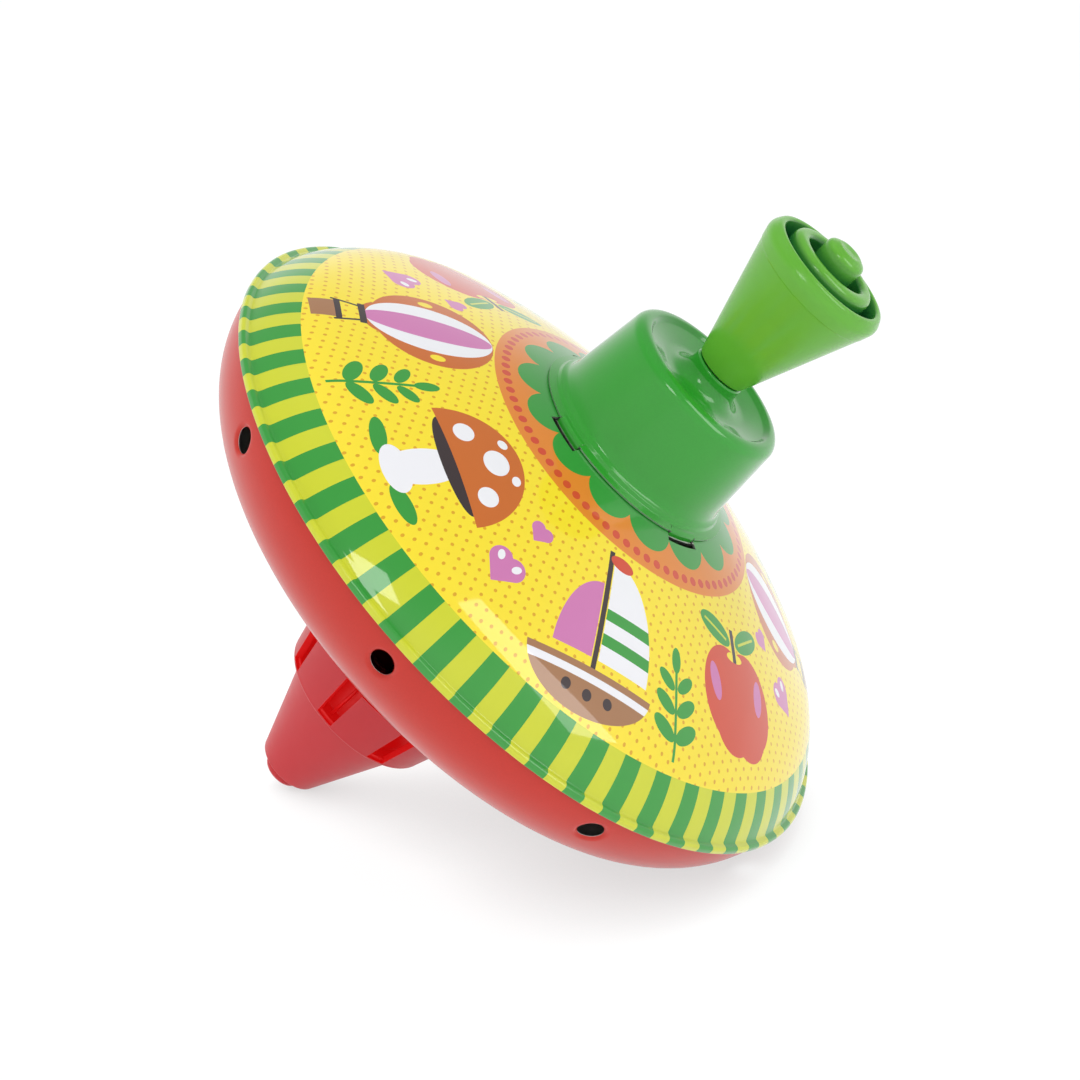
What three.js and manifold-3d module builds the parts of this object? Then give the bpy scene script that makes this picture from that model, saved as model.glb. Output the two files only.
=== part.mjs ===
// A pump-action humming top, for a child to spin on the floor.
// Two pressed tin shells are hemmed together at the rim. A tin cap on the upper shell holds the drive:
// a twisted steel rod with a knob runs down through a slotted nut, and pumping the knob turns the shells.
// A moulded foot under the lower shell carries the tip that the top spins on.
// Millimetres, +Z up along the spin axis, origin at the lowest point of the tip.

import * as THREE from "three";
import { mergeVertices } from "three/addons/utils/BufferGeometryUtils.js";
import Module from "manifold-3d";

const wasm = await Module();
wasm.setup();

// Sheet metal and fits
const rim_radius = 95;
const tin = 0.5;
const clearance = 0.3;
const overrun = 1;

// Upper shell, from its hemmed rim to the hole under the cap
const hem_width = 2.13;
const hem_height = 1.88;
const hem_round = 0.9;
const hem_lip_round = 0.5;
const hem_lip_drop = 0.25;
const shoulder_radius = 32;
const shoulder_foot_angle = 63.05;
const shoulder_top_angle = 26.3;
const crown_radius = 310;
const crown_ledge = 2.5;

// Lower shell, from the rim down to the flat seat of the foot
const lower_inset = 1.4;
const lower_shoulder_radius = 25.4;
const lower_slope_angle = 28.7;
const lower_seat_radius = 25;
const lower_seat_width = 7.5;
const lower_flange = 0.6;
const lower_flange_gap = 0.3;
const sound_hole_count = 9;
const sound_hole_radius = 3.1;
const sound_hole_drop = 7.1;
const sound_hole_azimuth = 88.4;

// Cap over the drive
const cap_flange_radius = 29;
const cap_bead_width = 2.6;
const cap_bead_height = 0.6;
const cap_flange_width = 4.1;
const cap_taper = 1.8;
const cap_height = 26.6;
const cap_edge_round = 2.9;
const cap_crest_width = 1.2;
const dish_depth = 2.6;
const neck_radius = 7.1;
const neck_height = 5.8;
const neck_flare = 4;
const tab_half_angle = 9.2;
const slot_half_angle = 10;
const tab_azimuths = [62.5, 144, 242.5, 324];
const tab_offset = 0.35;
const tab_foot_length = 2.4;
const slot_margin = 0.45;
const backing_ring_width = 4.5;
const backing_ring_thickness = 0.8;

// Drive under the cap
const bush_flange = 1.6;
const bush_flange_thickness = 1;
const rod_width = 6;
const rod_thickness = 1.6;
const rod_pitch = 60;
const rod_step = 1.8;
const rod_fit = 0.35;
const carrier_hole_margin = 1.7;
const thrust_washer_margin = 0.5;
const thrust_washer_thickness = 0.8;
const nut_radius = 11.5;
const nut_thickness = 3.2;
const tooth_count = 12;
const tooth_height = 1.4;
const tooth_length = 4;
const tooth_gap = 0.4;
const carrier_plate_thickness = 2.5;
const carrier_wall = 1.8;

// Plunger
const rod_end_room = 12.3;
const knob_height = 36.6;
const knob_bottom_radius = 7;
const knob_top_radius = 17.8;
const knob_edge_round = 3.6;
const knob_wall = 2.6;
const knob_lip_round = 0.6;
const knob_ring_inset = 5.5;
const knob_ring_width = 3.1;
const knob_ring_rise = 1.7;
const knob_peg_gap = 3.2;
const knob_peg_rise = 5.2;
const knob_peg_crown = 1;
const knob_outer_groove_depth = 7.5;
const knob_inner_groove_depth = 18;
const knob_floor = 2.5;
const end_collar_wall = 1;
const end_collar_length = 4;
const end_washer_overlap = 2.2;
const end_washer_thickness = 1.5;

// Foot
const skirt_height = 15;
const skirt_flare = 3.8;
const skirt_wall = 1.8;
const skirt_edge_round = 1.6;
const cone_height = 28.4;
const skirt_step = 3.2;
const cone_bottom_radius = 8.6;
const cone_edge_round = 0.7;
const cone_wall = 2;
const foot_floor = 4.2;
const core_room = 5;
const core_wall = 1.8;
const core_rise = 2.5;
const seat_ledge_width = 4;
const seat_ledge_height = 2;
const window_count = 8;
const window_width = 6.1;
const window_sill = 1;
const window_azimuth = 83.4;
const rib_thickness = 1;
const rib_depth = 2.2;
const lock_ring_inset = 1;
const lock_ring_thickness = 1.2;
const tip_radius = 5.4;
const tip_drop = 3.5;
const tip_round = 1.5;
const tip_face_radius = 3;
const tip_edge_angle = 60;
const tip_stem_radius = 3.6;

// How finely each piece is turned
const shell_segments = 48;
const cap_segments = 36;
const knob_segments = 36;
const foot_segments = 32;
const small_segments = 24;
const sound_hole_sides = 12;
const block_segments = 4;

const rad = THREE.MathUtils.degToRad;

// Points on an arc in the radius and height plane, with angles in degrees from the outward direction
function arc(centre_radius, centre_height, radius, from, to, steps) {
  const points = [];
  for (let i = 0; i <= steps; i += 1) {
    const angle = rad(from + ((to - from) * i) / steps);
    points.push([centre_radius + radius * Math.cos(angle), centre_height + radius * Math.sin(angle)]);
  }
  return points;
}

// One side of a pressed sheet, moved square to itself by the sheet's thickness to its left
function offset(line, thickness) {
  const directions = [];
  for (let i = 0; i + 1 < line.length; i += 1) {
    const run = [line[i + 1][0] - line[i][0], line[i + 1][1] - line[i][1]];
    const length = Math.hypot(...run);
    directions.push([run[0] / length, run[1] / length]);
  }
  return line.map(([r, z], i) => {
    const before = directions[Math.max(i - 1, 0)];
    const after = directions[Math.min(i, directions.length - 1)];
    const normal = [-(before[1] + after[1]), before[0] + after[0]];
    const size = Math.hypot(...normal);
    const reach = thickness / (size / 2);
    return [r + (normal[0] / size) * reach, z + (normal[1] / size) * reach];
  });
}

// A closed outline of a pressed sheet whose one side is given
function sheet(line, thickness) {
  return [...line, ...offset(line, thickness).reverse()];
}

// Only positions are kept, equal corners are shared and triangles with no area are left out
function weld(geometry) {
  geometry.deleteAttribute("uv");
  geometry.deleteAttribute("normal");
  const merged = mergeVertices(geometry);
  const index = merged.index.array;
  const kept = [];
  for (let i = 0; i < index.length; i += 3) {
    const [a, b, c] = [index[i], index[i + 1], index[i + 2]];
    if (a !== b && b !== c && c !== a) kept.push(a, b, c);
  }
  merged.setIndex(kept);
  return merged;
}

// A turned body: the outline is [radius, height] pairs, closed on itself or with both ends on the axis
function turned(outline, segments) {
  const onAxis = outline[0][0] === 0 && outline.at(-1)[0] === 0;
  const loop = onAxis ? [...outline] : [...outline, outline[0]];
  let area = 0;
  for (let i = 0; i + 1 < loop.length; i += 1) {
    area += loop[i][0] * loop[i + 1][1] - loop[i + 1][0] * loop[i][1];
  }
  if (area < 0) loop.reverse();
  const geometry = new THREE.LatheGeometry(loop.map(([r, z]) => new THREE.Vector2(r, z)), segments);
  geometry.rotateX(Math.PI / 2);
  return weld(geometry);
}

// A plain ring or tube
function ring(inner, outer, bottom, top, segments) {
  return turned([[inner, bottom], [outer, bottom], [outer, top], [inner, top]], segments);
}

// A block that follows a circle, between two radii, two heights and two azimuths
function arcBlock(inner, outer, bottom, top, from, to) {
  const shape = new THREE.Shape();
  shape.absarc(0, 0, outer, rad(from), rad(to), false);
  shape.absarc(0, 0, inner, rad(to), rad(from), true);
  const block = new THREE.ExtrudeGeometry(shape, {
    depth: top - bottom,
    bevelEnabled: false,
    curveSegments: block_segments,
  });
  block.translate(0, 0, bottom);
  return weld(block);
}

// A bar of rectangular section, twisted evenly about the spin axis, between two heights
function twistedBar(width, thickness, bottom, top) {
  const shape = new THREE.Shape();
  shape.moveTo(-width / 2, -thickness / 2);
  shape.lineTo(width / 2, -thickness / 2);
  shape.lineTo(width / 2, thickness / 2);
  shape.lineTo(-width / 2, thickness / 2);
  shape.closePath();
  const steps = Math.max(2, Math.round((top - bottom) / rod_step));
  const bar = new THREE.ExtrudeGeometry(shape, { depth: top - bottom, steps, bevelEnabled: false });
  bar.translate(0, 0, bottom);
  const position = bar.attributes.position;
  for (let i = 0; i < position.count; i += 1) {
    const angle = (2 * Math.PI * position.getZ(i)) / rod_pitch;
    const x = position.getX(i);
    const y = position.getY(i);
    position.setXY(i, x * Math.cos(angle) - y * Math.sin(angle), x * Math.sin(angle) + y * Math.cos(angle));
  }
  return weld(bar);
}

function solid(geometry) {
  const vertProperties = Float32Array.from(geometry.attributes.position.array);
  const triVerts = Uint32Array.from(geometry.index.array);
  return new wasm.Manifold(new wasm.Mesh({ numProp: 3, vertProperties, triVerts }));
}

function geometryOf(body) {
  const { vertProperties, triVerts } = body.getMesh();
  const geometry = new THREE.BufferGeometry();
  geometry.setAttribute("position", new THREE.BufferAttribute(Float32Array.from(vertProperties), 3));
  geometry.setIndex(Array.from(triVerts));
  return geometry;
}

function cut(geometry, cutters) {
  return geometryOf(cutters.reduce((body, cutter) => body.subtract(solid(cutter)), solid(geometry)));
}

function join(geometry, additions) {
  return geometryOf(additions.reduce((body, addition) => body.add(solid(addition)), solid(geometry)));
}

// The same azimuths for every row of holes or windows
function around(count, azimuth) {
  return Array.from({ length: count }, (_, i) => azimuth + (360 * i) / count);
}

// Heights in this file are measured from the plane of the rim

// Upper shell: the shoulder arc runs into the wider crown arc without a corner
const valley_radius = rim_radius - hem_width;
const shoulder_centre_radius = valley_radius - shoulder_radius * Math.sin(rad(shoulder_foot_angle));
const shoulder_centre_height = hem_height - shoulder_radius * Math.cos(rad(shoulder_foot_angle));
const crown_reach = crown_radius - shoulder_radius;
const crown_centre_radius = shoulder_centre_radius - crown_reach * Math.sin(rad(shoulder_top_angle));
const crown_centre_height = shoulder_centre_height - crown_reach * Math.cos(rad(shoulder_top_angle));

function crownHeight(radius) {
  return crown_centre_height + Math.sqrt(crown_radius ** 2 - (radius - crown_centre_radius) ** 2);
}

function crownLine(steps) {
  const shoulder_top_radius = shoulder_centre_radius + shoulder_radius * Math.sin(rad(shoulder_top_angle));
  const points = [];
  for (let i = 0; i < steps; i += 1) {
    const radius = crown_hole_radius + ((shoulder_top_radius - crown_hole_radius) * i) / steps;
    points.push([radius, crownHeight(radius)]);
  }
  return points;
}

function upperShell() {
  const shoulder_from = 90 - shoulder_top_angle;
  const shoulder_to = 90 - shoulder_foot_angle;
  const round_radius = rim_radius - hem_round;
  const line = [
    ...crownLine(4),
    ...arc(shoulder_centre_radius, shoulder_centre_height, shoulder_radius, shoulder_from, shoulder_to, 4),
    ...arc(round_radius, hem_height - hem_round, hem_round, 90, 0, 2),
    ...arc(rim_radius - hem_lip_round, hem_lip_round - hem_lip_drop, hem_lip_round, 0, -90, 1),
    [lower_radius + clearance, -hem_lip_drop],
  ];
  const shell = turned(sheet(line, -tin), shell_segments);
  const slots = tab_azimuths.map((azimuth) => arcBlock(
    slot_inner_radius,
    slot_outer_radius,
    crownHeight(slot_outer_radius) - tin - overrun,
    crownHeight(slot_inner_radius) + overrun,
    azimuth - slot_half_angle,
    azimuth + slot_half_angle,
  ));
  return cut(shell, slots);
}

// Lower shell: a shoulder arc below the rim, a straight cone and a flat seat for the foot
const lower_radius = rim_radius - lower_inset;
const lower_centre_radius = lower_radius - lower_shoulder_radius;
const lower_cone_angle = 90 - lower_slope_angle;
const lower_cone_radius = lower_centre_radius + lower_shoulder_radius * Math.cos(rad(lower_cone_angle));
const lower_cone_height = -lower_shoulder_radius * Math.sin(rad(lower_cone_angle));
const lower_slope = Math.tan(rad(lower_slope_angle));
const lower_flange_height = hem_height - 2 * tin - lower_flange_gap;
const foot_hole_radius = lower_seat_radius - lower_seat_width;
const lower_seat_height = lower_cone_height - (lower_cone_radius - lower_seat_radius) * lower_slope;

// The underside of the lower shell
function lowerHeight(radius) {
  return lower_cone_height - (lower_cone_radius - Math.max(radius, lower_seat_radius)) * lower_slope;
}

function lowerShell() {
  const line = [
    [lower_radius + lower_flange, lower_flange_height],
    [lower_radius, lower_flange_height],
    ...arc(lower_centre_radius, 0, lower_shoulder_radius, 0, -lower_cone_angle, 6),
    [lower_seat_radius, lower_seat_height],
    [foot_hole_radius, lower_seat_height],
  ];
  const shell = turned(sheet(line, -tin), shell_segments);
  const hole_angle = Math.asin(sound_hole_drop / lower_shoulder_radius);
  const hole_centre_radius = lower_centre_radius + lower_shoulder_radius * Math.cos(hole_angle);
  const drills = around(sound_hole_count, sound_hole_azimuth).map((azimuth) => {
    const depth = 2 * (tin + overrun);
    const drill = new THREE.CylinderGeometry(sound_hole_radius, sound_hole_radius, depth, sound_hole_sides);
    drill.rotateZ(-Math.PI / 2);
    drill.rotateY(hole_angle);
    drill.translate(hole_centre_radius, 0, -sound_hole_drop);
    drill.rotateZ(rad(azimuth));
    return weld(drill);
  });
  return cut(shell, drills);
}

// Cap: its flange follows the crown, and its tabs go down through slots in the upper shell
const cap_foot_radius = cap_flange_radius - cap_flange_width;
const cap_top_radius = cap_foot_radius - cap_taper;
const cap_wall_bottom = crownHeight(cap_foot_radius) + clearance + tin;
const cap_base_height = crownHeight(cap_flange_radius) + clearance;
const cap_crest_height = cap_base_height + cap_height;
const dish_height = cap_crest_height - dish_depth;
const dish_under_height = dish_height - tin;
const neck_top_height = dish_height + neck_height;
const slot_inner_radius = cap_flange_radius - clearance;
const tab_inner_radius = cap_flange_radius + tab_offset;
const tab_outer_radius = tab_inner_radius + tin;
const slot_outer_radius = tab_outer_radius + slot_margin;

function capUnderHeight(radius) {
  return crownHeight(radius) + clearance;
}

function driveCap() {
  const bead_radius = cap_flange_radius - cap_bead_width / 2;
  const bead_inner_radius = cap_flange_radius - cap_bead_width;
  const crest_outer_radius = cap_top_radius - cap_edge_round;
  const crest_inner_radius = crest_outer_radius - cap_crest_width;
  const dish_round = dish_depth / 2;
  const dish_floor_radius = crest_inner_radius - dish_depth;
  const wall_lean = Math.atan(cap_taper / (cap_crest_height - cap_wall_bottom)) / rad(1);
  const line = [
    [cap_flange_radius, capUnderHeight(cap_flange_radius) + tin],
    [bead_radius, capUnderHeight(bead_radius) + tin + cap_bead_height],
    [bead_inner_radius, capUnderHeight(bead_inner_radius) + tin + cap_bead_height],
    [cap_foot_radius, cap_wall_bottom + cap_bead_width],
    ...arc(crest_outer_radius, cap_crest_height - cap_edge_round, cap_edge_round, wall_lean, 90, 3),
    ...arc(crest_inner_radius, cap_crest_height - dish_round, dish_round, 90, 180, 2),
    ...arc(dish_floor_radius, cap_crest_height - dish_round, dish_round, 0, -90, 2).slice(1),
    ...arc(neck_radius + neck_flare, dish_height + neck_flare, neck_flare, -90, -180, 2),
    [neck_radius, neck_top_height],
  ];
  const body = turned(sheet(line, tin), cap_segments);
  const tab_top = capUnderHeight(cap_flange_radius) + tin;
  const tab_bottom = crownHeight(tab_outer_radius) - 2 * tin - backing_ring_thickness - 2 * clearance;
  const tabs = tab_azimuths.flatMap((azimuth) => {
    const from = azimuth - tab_half_angle;
    const to = azimuth + tab_half_angle;
    return [
      arcBlock(cap_flange_radius - tin, tab_outer_radius, tab_top - tin, tab_top, from, to),
      arcBlock(tab_inner_radius, tab_outer_radius, tab_bottom, tab_top, from, to),
      arcBlock(tab_outer_radius - tab_foot_length, tab_outer_radius, tab_bottom, tab_bottom + tin, from, to),
    ];
  });
  return join(body, tabs);
}

// A ring under the upper shell spreads the pull of the tabs
function backingRing() {
  const outer = tab_inner_radius - clearance;
  const inner = outer - backing_ring_width;
  const underShell = (radius) => crownHeight(radius) - tin - clearance;
  const line = [[inner, underShell(inner)], [outer, underShell(outer)]];
  return turned(sheet(line, -backing_ring_thickness), cap_segments);
}

// The drive hangs from the floor of the dish, each piece a running gap below the one above
const rod_corner_radius = Math.hypot(rod_width, rod_thickness) / 2;
const rod_bore_radius = rod_corner_radius + rod_fit;
const carrier_hole_radius = rod_corner_radius + carrier_hole_margin;
const thrust_washer_radius = nut_radius + thrust_washer_margin;
const end_collar_radius = rod_corner_radius + clearance + end_collar_wall;
const end_washer_radius = carrier_hole_radius + end_washer_overlap;
const bush_flange_top = dish_under_height - clearance;
const bush_flange_bottom = bush_flange_top - bush_flange_thickness;
const bush_radius = neck_radius - tin - clearance;
const thrust_washer_top = bush_flange_bottom - clearance;
const thrust_washer_bottom = thrust_washer_top - thrust_washer_thickness;
const nut_top = thrust_washer_bottom - clearance;
const nut_bottom = nut_top - nut_thickness;
const carrier_top = nut_bottom - 2 * tooth_height - tooth_gap;
const carrier_plate_bottom = carrier_top - carrier_plate_thickness;
const carrier_radius = cap_top_radius - tin - clearance;
const crown_hole_radius = carrier_radius - carrier_wall - crown_ledge;
const knob_bottom_height = neck_top_height + clearance;
const knob_top_height = knob_bottom_height + knob_height;
const knob_inner_floor = knob_top_height - knob_inner_groove_depth;
const knob_bore_top = knob_inner_floor - knob_floor;
const rod_top = knob_bore_top - clearance;

function neckBush() {
  return turned([
    [rod_bore_radius, bush_flange_bottom],
    [bush_radius + bush_flange, bush_flange_bottom],
    [bush_radius + bush_flange, bush_flange_top],
    [bush_radius, bush_flange_top],
    [bush_radius, neck_top_height],
    [rod_bore_radius, neck_top_height],
  ], small_segments);
}

// One ratchet tooth: a ramp seen along the radius, standing on the plane of height zero
function ratchetTooth(inner, width) {
  const ramp = new THREE.Shape();
  ramp.moveTo(-width / 2, -tooth_height / 2);
  ramp.lineTo(width / 2, -tooth_height / 2);
  ramp.lineTo(width / 2, tooth_height);
  ramp.lineTo(-width / 2, 0);
  ramp.closePath();
  const tooth = new THREE.ExtrudeGeometry(ramp, { depth: tooth_length, bevelEnabled: false });
  tooth.rotateX(Math.PI / 2);
  tooth.rotateZ(Math.PI / 2);
  tooth.translate(inner, 0, 0);
  return weld(tooth);
}

function teeth(height, down) {
  const inner = nut_radius - tooth_length - clearance;
  const width = (Math.PI * inner) / tooth_count;
  return around(tooth_count, 0).map((azimuth) => {
    const tooth = ratchetTooth(inner, width);
    if (down) tooth.rotateX(Math.PI);
    tooth.rotateZ(rad(azimuth));
    tooth.translate(0, 0, height);
    return tooth;
  });
}

function driveNut() {
  const disc = turned([
    [0, nut_bottom],
    [nut_radius, nut_bottom],
    [nut_radius, nut_top],
    [0, nut_top],
  ], small_segments);
  const width = rod_width + 2 * rod_fit;
  const thickness = rod_thickness + 2 * rod_fit;
  const slot = twistedBar(width, thickness, nut_bottom - overrun, nut_top + overrun);
  return cut(join(disc, teeth(nut_bottom, true)), [slot]);
}

function clutchCarrier() {
  const inner = carrier_radius - carrier_wall;
  const cup = turned([
    [carrier_hole_radius, carrier_top],
    [carrier_radius, carrier_top],
    [carrier_radius, capUnderHeight(carrier_radius)],
    [inner, capUnderHeight(inner)],
    [inner, carrier_plate_bottom],
    [carrier_hole_radius, carrier_plate_bottom],
  ], cap_segments);
  return join(cup, teeth(carrier_top, false));
}

// Knob: a cone with a rounded rim, cored out around a ring and a centre peg
function knob() {
  const ring_outer = knob_top_radius - knob_ring_inset;
  const ring_inner = ring_outer - knob_ring_width;
  const peg_radius = ring_inner - knob_peg_gap;
  const edge_height = knob_top_height - knob_edge_round;
  const cone_slope = (knob_top_radius - knob_bottom_radius) / (edge_height - knob_bottom_height);
  const cone_lean = Math.atan(cone_slope) / rad(1);
  const outer_floor = knob_top_height - knob_outer_groove_depth;
  const groove_foot = knob_top_radius - cone_slope * knob_outer_groove_depth - knob_wall;
  const bore = rod_corner_radius + clearance;
  const lip_radius = knob_top_radius - knob_edge_round;
  const lip_edge = Math.acos(Math.max(knob_edge_round - knob_wall, 0) / knob_edge_round) / rad(1);
  const wall_inner = knob_top_radius - knob_wall - knob_lip_round;
  const ring_top = knob_top_height + knob_ring_rise;
  const ring_round = knob_ring_width / 2;
  const peg_top = knob_top_height + knob_peg_rise;
  const peg_face_radius = peg_radius - knob_lip_round;
  const crown_sphere = (peg_face_radius ** 2 + knob_peg_crown ** 2) / (2 * knob_peg_crown);
  const crown_edge = Math.acos(peg_face_radius / crown_sphere) / rad(1);
  return turned([
    [0, peg_top + knob_peg_crown],
    ...arc(0, peg_top + knob_peg_crown - crown_sphere, crown_sphere, 90, crown_edge, 2).slice(1),
    [peg_radius, peg_top - knob_lip_round],
    [peg_radius, knob_inner_floor],
    [ring_inner, knob_inner_floor],
    ...arc(ring_inner + ring_round, ring_top - ring_round, ring_round, 180, 0, 4),
    [ring_outer, outer_floor],
    [groove_foot, outer_floor],
    [wall_inner, knob_top_height - knob_lip_round],
    ...arc(lip_radius, edge_height, knob_edge_round, lip_edge, -cone_lean, 4),
    [knob_bottom_radius + cone_slope * knob_lip_round, knob_bottom_height + knob_lip_round],
    [knob_bottom_radius - knob_lip_round, knob_bottom_height],
    [bore, knob_bottom_height],
    [bore, knob_bore_top],
    [0, knob_bore_top],
  ], knob_segments);
}

// Foot: a windowed skirt below the lower shell, round a core that runs down into the cone
const skirt_bottom_height = lower_seat_height - skirt_height;
const cone_bottom_height = skirt_bottom_height - cone_height;
const skirt_bottom_radius = foot_hole_radius + core_room;
const skirt_top_radius = skirt_bottom_radius + skirt_flare;
const cone_top_radius = skirt_bottom_radius - skirt_step;
const core_radius = foot_hole_radius - clearance;
const lock_ring_bottom = lower_seat_height + tin + clearance;
const lock_ring_top = lock_ring_bottom + lock_ring_thickness;
const lock_ring_outer = lower_seat_radius - lock_ring_inset;
const tip_hole_radius = tip_stem_radius + clearance;
const tip_head_top = cone_bottom_height - clearance;
const tip_bottom_height = tip_head_top - tip_drop;
const tip_stem_top = cone_bottom_height + foot_floor + overrun;

// The rod reaches down into the foot, and its end pieces sit above the tip's stem
const end_collar_bottom = tip_stem_top + rod_end_room;
const end_collar_top = end_collar_bottom + end_collar_length;
const end_washer_bottom = end_collar_top + clearance;
const end_washer_top = end_washer_bottom + end_washer_thickness;

function foot() {
  const underShell = (radius) => lowerHeight(radius) - clearance / Math.cos(rad(lower_slope_angle));
  const skirt_inner_radius = skirt_top_radius - skirt_wall;
  const floor_height = skirt_bottom_height + skirt_wall;
  const ledge_top = lower_seat_height - clearance;
  const ledge_bottom = ledge_top - seat_ledge_height;
  const ledge_radius = core_radius + seat_ledge_width;
  const core_top = lock_ring_top + core_rise;
  const core_inner = core_radius - core_wall;
  const cone_slope = (cone_top_radius - cone_bottom_radius) / cone_height;
  const cone_lean = Math.atan(cone_slope) / rad(1);
  const floor_top = cone_bottom_height + foot_floor;
  const cone_edge_radius = cone_bottom_radius - cone_edge_round;
  const cone_edge_height = cone_bottom_height + cone_edge_round;
  const skirt_edge_radius = skirt_bottom_radius - skirt_edge_round;
  const skirt_edge_height = skirt_bottom_height + skirt_edge_round;
  const body = turned([
    [tip_hole_radius, cone_bottom_height],
    ...arc(cone_edge_radius, cone_edge_height, cone_edge_round, -90, -cone_lean, 3),
    [cone_top_radius, skirt_bottom_height],
    ...arc(skirt_edge_radius, skirt_edge_height, skirt_edge_round, -90, 0, 2),
    [skirt_top_radius, underShell(skirt_top_radius)],
    [skirt_inner_radius, underShell(skirt_inner_radius)],
    [skirt_bottom_radius - skirt_wall, floor_height],
    [core_radius, floor_height],
    [core_radius, ledge_bottom],
    [ledge_radius, ledge_bottom],
    [ledge_radius, ledge_top],
    [core_radius, ledge_top],
    [core_radius, core_top],
    [core_inner, core_top],
    [core_inner, skirt_bottom_height],
    [cone_bottom_radius + cone_slope * foot_floor - cone_wall, floor_top],
    [tip_hole_radius, floor_top],
  ], foot_segments);
  const window_inner = skirt_bottom_radius - skirt_wall - clearance;
  const window_length = skirt_top_radius - window_inner + overrun;
  const window_tall = skirt_height + overrun;
  const window_middle = skirt_bottom_height + window_sill + window_tall / 2;
  const windows = around(window_count, window_azimuth).map((azimuth) => {
    const window = new THREE.BoxGeometry(window_length, window_width, window_tall);
    window.translate(window_inner + window_length / 2, 0, window_middle);
    window.rotateZ(rad(azimuth));
    return weld(window);
  });
  const rib_inner = core_radius - core_wall / 2;
  const rib_length = core_radius + rib_depth - rib_inner;
  const rib_bottom = floor_height - skirt_wall / 2;
  const rib_tall = ledge_bottom + seat_ledge_height / 2 - rib_bottom;
  const ribs = around(window_count, window_azimuth).map((azimuth) => {
    const rib = new THREE.BoxGeometry(rib_length, rib_thickness, rib_tall);
    rib.translate(rib_inner + rib_length / 2, 0, rib_bottom + rib_tall / 2);
    rib.rotateZ(rad(azimuth));
    return weld(rib);
  });
  return join(cut(body, windows), ribs);
}

function footTip() {
  return turned([
    [0, tip_bottom_height],
    [tip_face_radius, tip_bottom_height],
    ...arc(tip_radius - tip_round, tip_bottom_height + tip_round, tip_round, -tip_edge_angle, 0, 3),
    [tip_radius, tip_head_top],
    [tip_stem_radius, tip_head_top],
    [tip_stem_radius, tip_stem_top],
    [0, tip_stem_top],
  ], small_segments);
}

const colours = {
  print: 0xf7df2e,
  red_tin: 0xcc4a3f,
  cap_green: 0x3f9a43,
  knob_green: 0x62ac3c,
  foot_red: 0xc83f47,
  steel: 0xb9bcc0,
  nylon: 0xe9e6dc,
  fibre: 0x8a3a2c,
  bare_tin: 0xc9c9c4,
};

function finish(color, roughness, metalness) {
  return new THREE.MeshStandardMaterial({ color, roughness, metalness });
}

const model = new THREE.Group();
model.position.z = -tip_bottom_height;

function add(name, geometry, material) {
  const mesh = new THREE.Mesh(geometry, material);
  mesh.name = name;
  model.add(mesh);
}

add("upper_shell", upperShell(), finish(colours.print, 0.18, 0));
add("lower_shell", lowerShell(), finish(colours.red_tin, 0.22, 0));
add("drive_cap", driveCap(), finish(colours.cap_green, 0.15, 0));
add("backing_ring", backingRing(), finish(colours.bare_tin, 0.35, 1));
add("neck_bush", neckBush(), finish(colours.nylon, 0.45, 0));
add(
  "thrust_washer",
  ring(rod_bore_radius, thrust_washer_radius, thrust_washer_bottom, thrust_washer_top, small_segments),
  finish(colours.steel, 0.3, 1),
);
add("drive_nut", driveNut(), finish(colours.nylon, 0.45, 0));
add("clutch_carrier", clutchCarrier(), finish(colours.nylon, 0.5, 0));
add("knob", knob(), finish(colours.knob_green, 0.25, 0));
add(
  "spiral_rod",
  twistedBar(rod_width, rod_thickness, end_collar_bottom, rod_top),
  finish(colours.steel, 0.25, 1),
);
add(
  "end_collar",
  ring(rod_corner_radius + clearance, end_collar_radius, end_collar_bottom, end_collar_top, small_segments),
  finish(colours.steel, 0.3, 1),
);
add(
  "end_washer",
  ring(rod_bore_radius, end_washer_radius, end_washer_bottom, end_washer_top, small_segments),
  finish(colours.fibre, 0.8, 0),
);
add("foot", foot(), finish(colours.foot_red, 0.4, 0));
add(
  "foot_lock_ring",
  ring(foot_hole_radius, lock_ring_outer, lock_ring_bottom, lock_ring_top, small_segments),
  finish(colours.steel, 0.3, 1),
);
add("foot_tip", footTip(), finish(colours.foot_red, 0.4, 0));

export default model;
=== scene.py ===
# %% [markdown]
# # A tin humming top
# The real toy is two pressed tin shells hemmed together at the rim. A tin cap holds the drive, a plastic
# knob pumps a twisted rod through it, and a plastic foot carries the tip. This notebook dresses the packed
# parts with smooth surfaces and with finishes that are worked out in shader nodes.
#
# Every new surface here is a grid that numpy works out: a profile turned round the spin axis, or a section
# carried along it. That suits the object, because almost every piece of it was spun, pressed or turned.

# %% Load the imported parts
import math

import bmesh
import bpy
import numpy as np
from mathutils import Matrix, Vector


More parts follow.
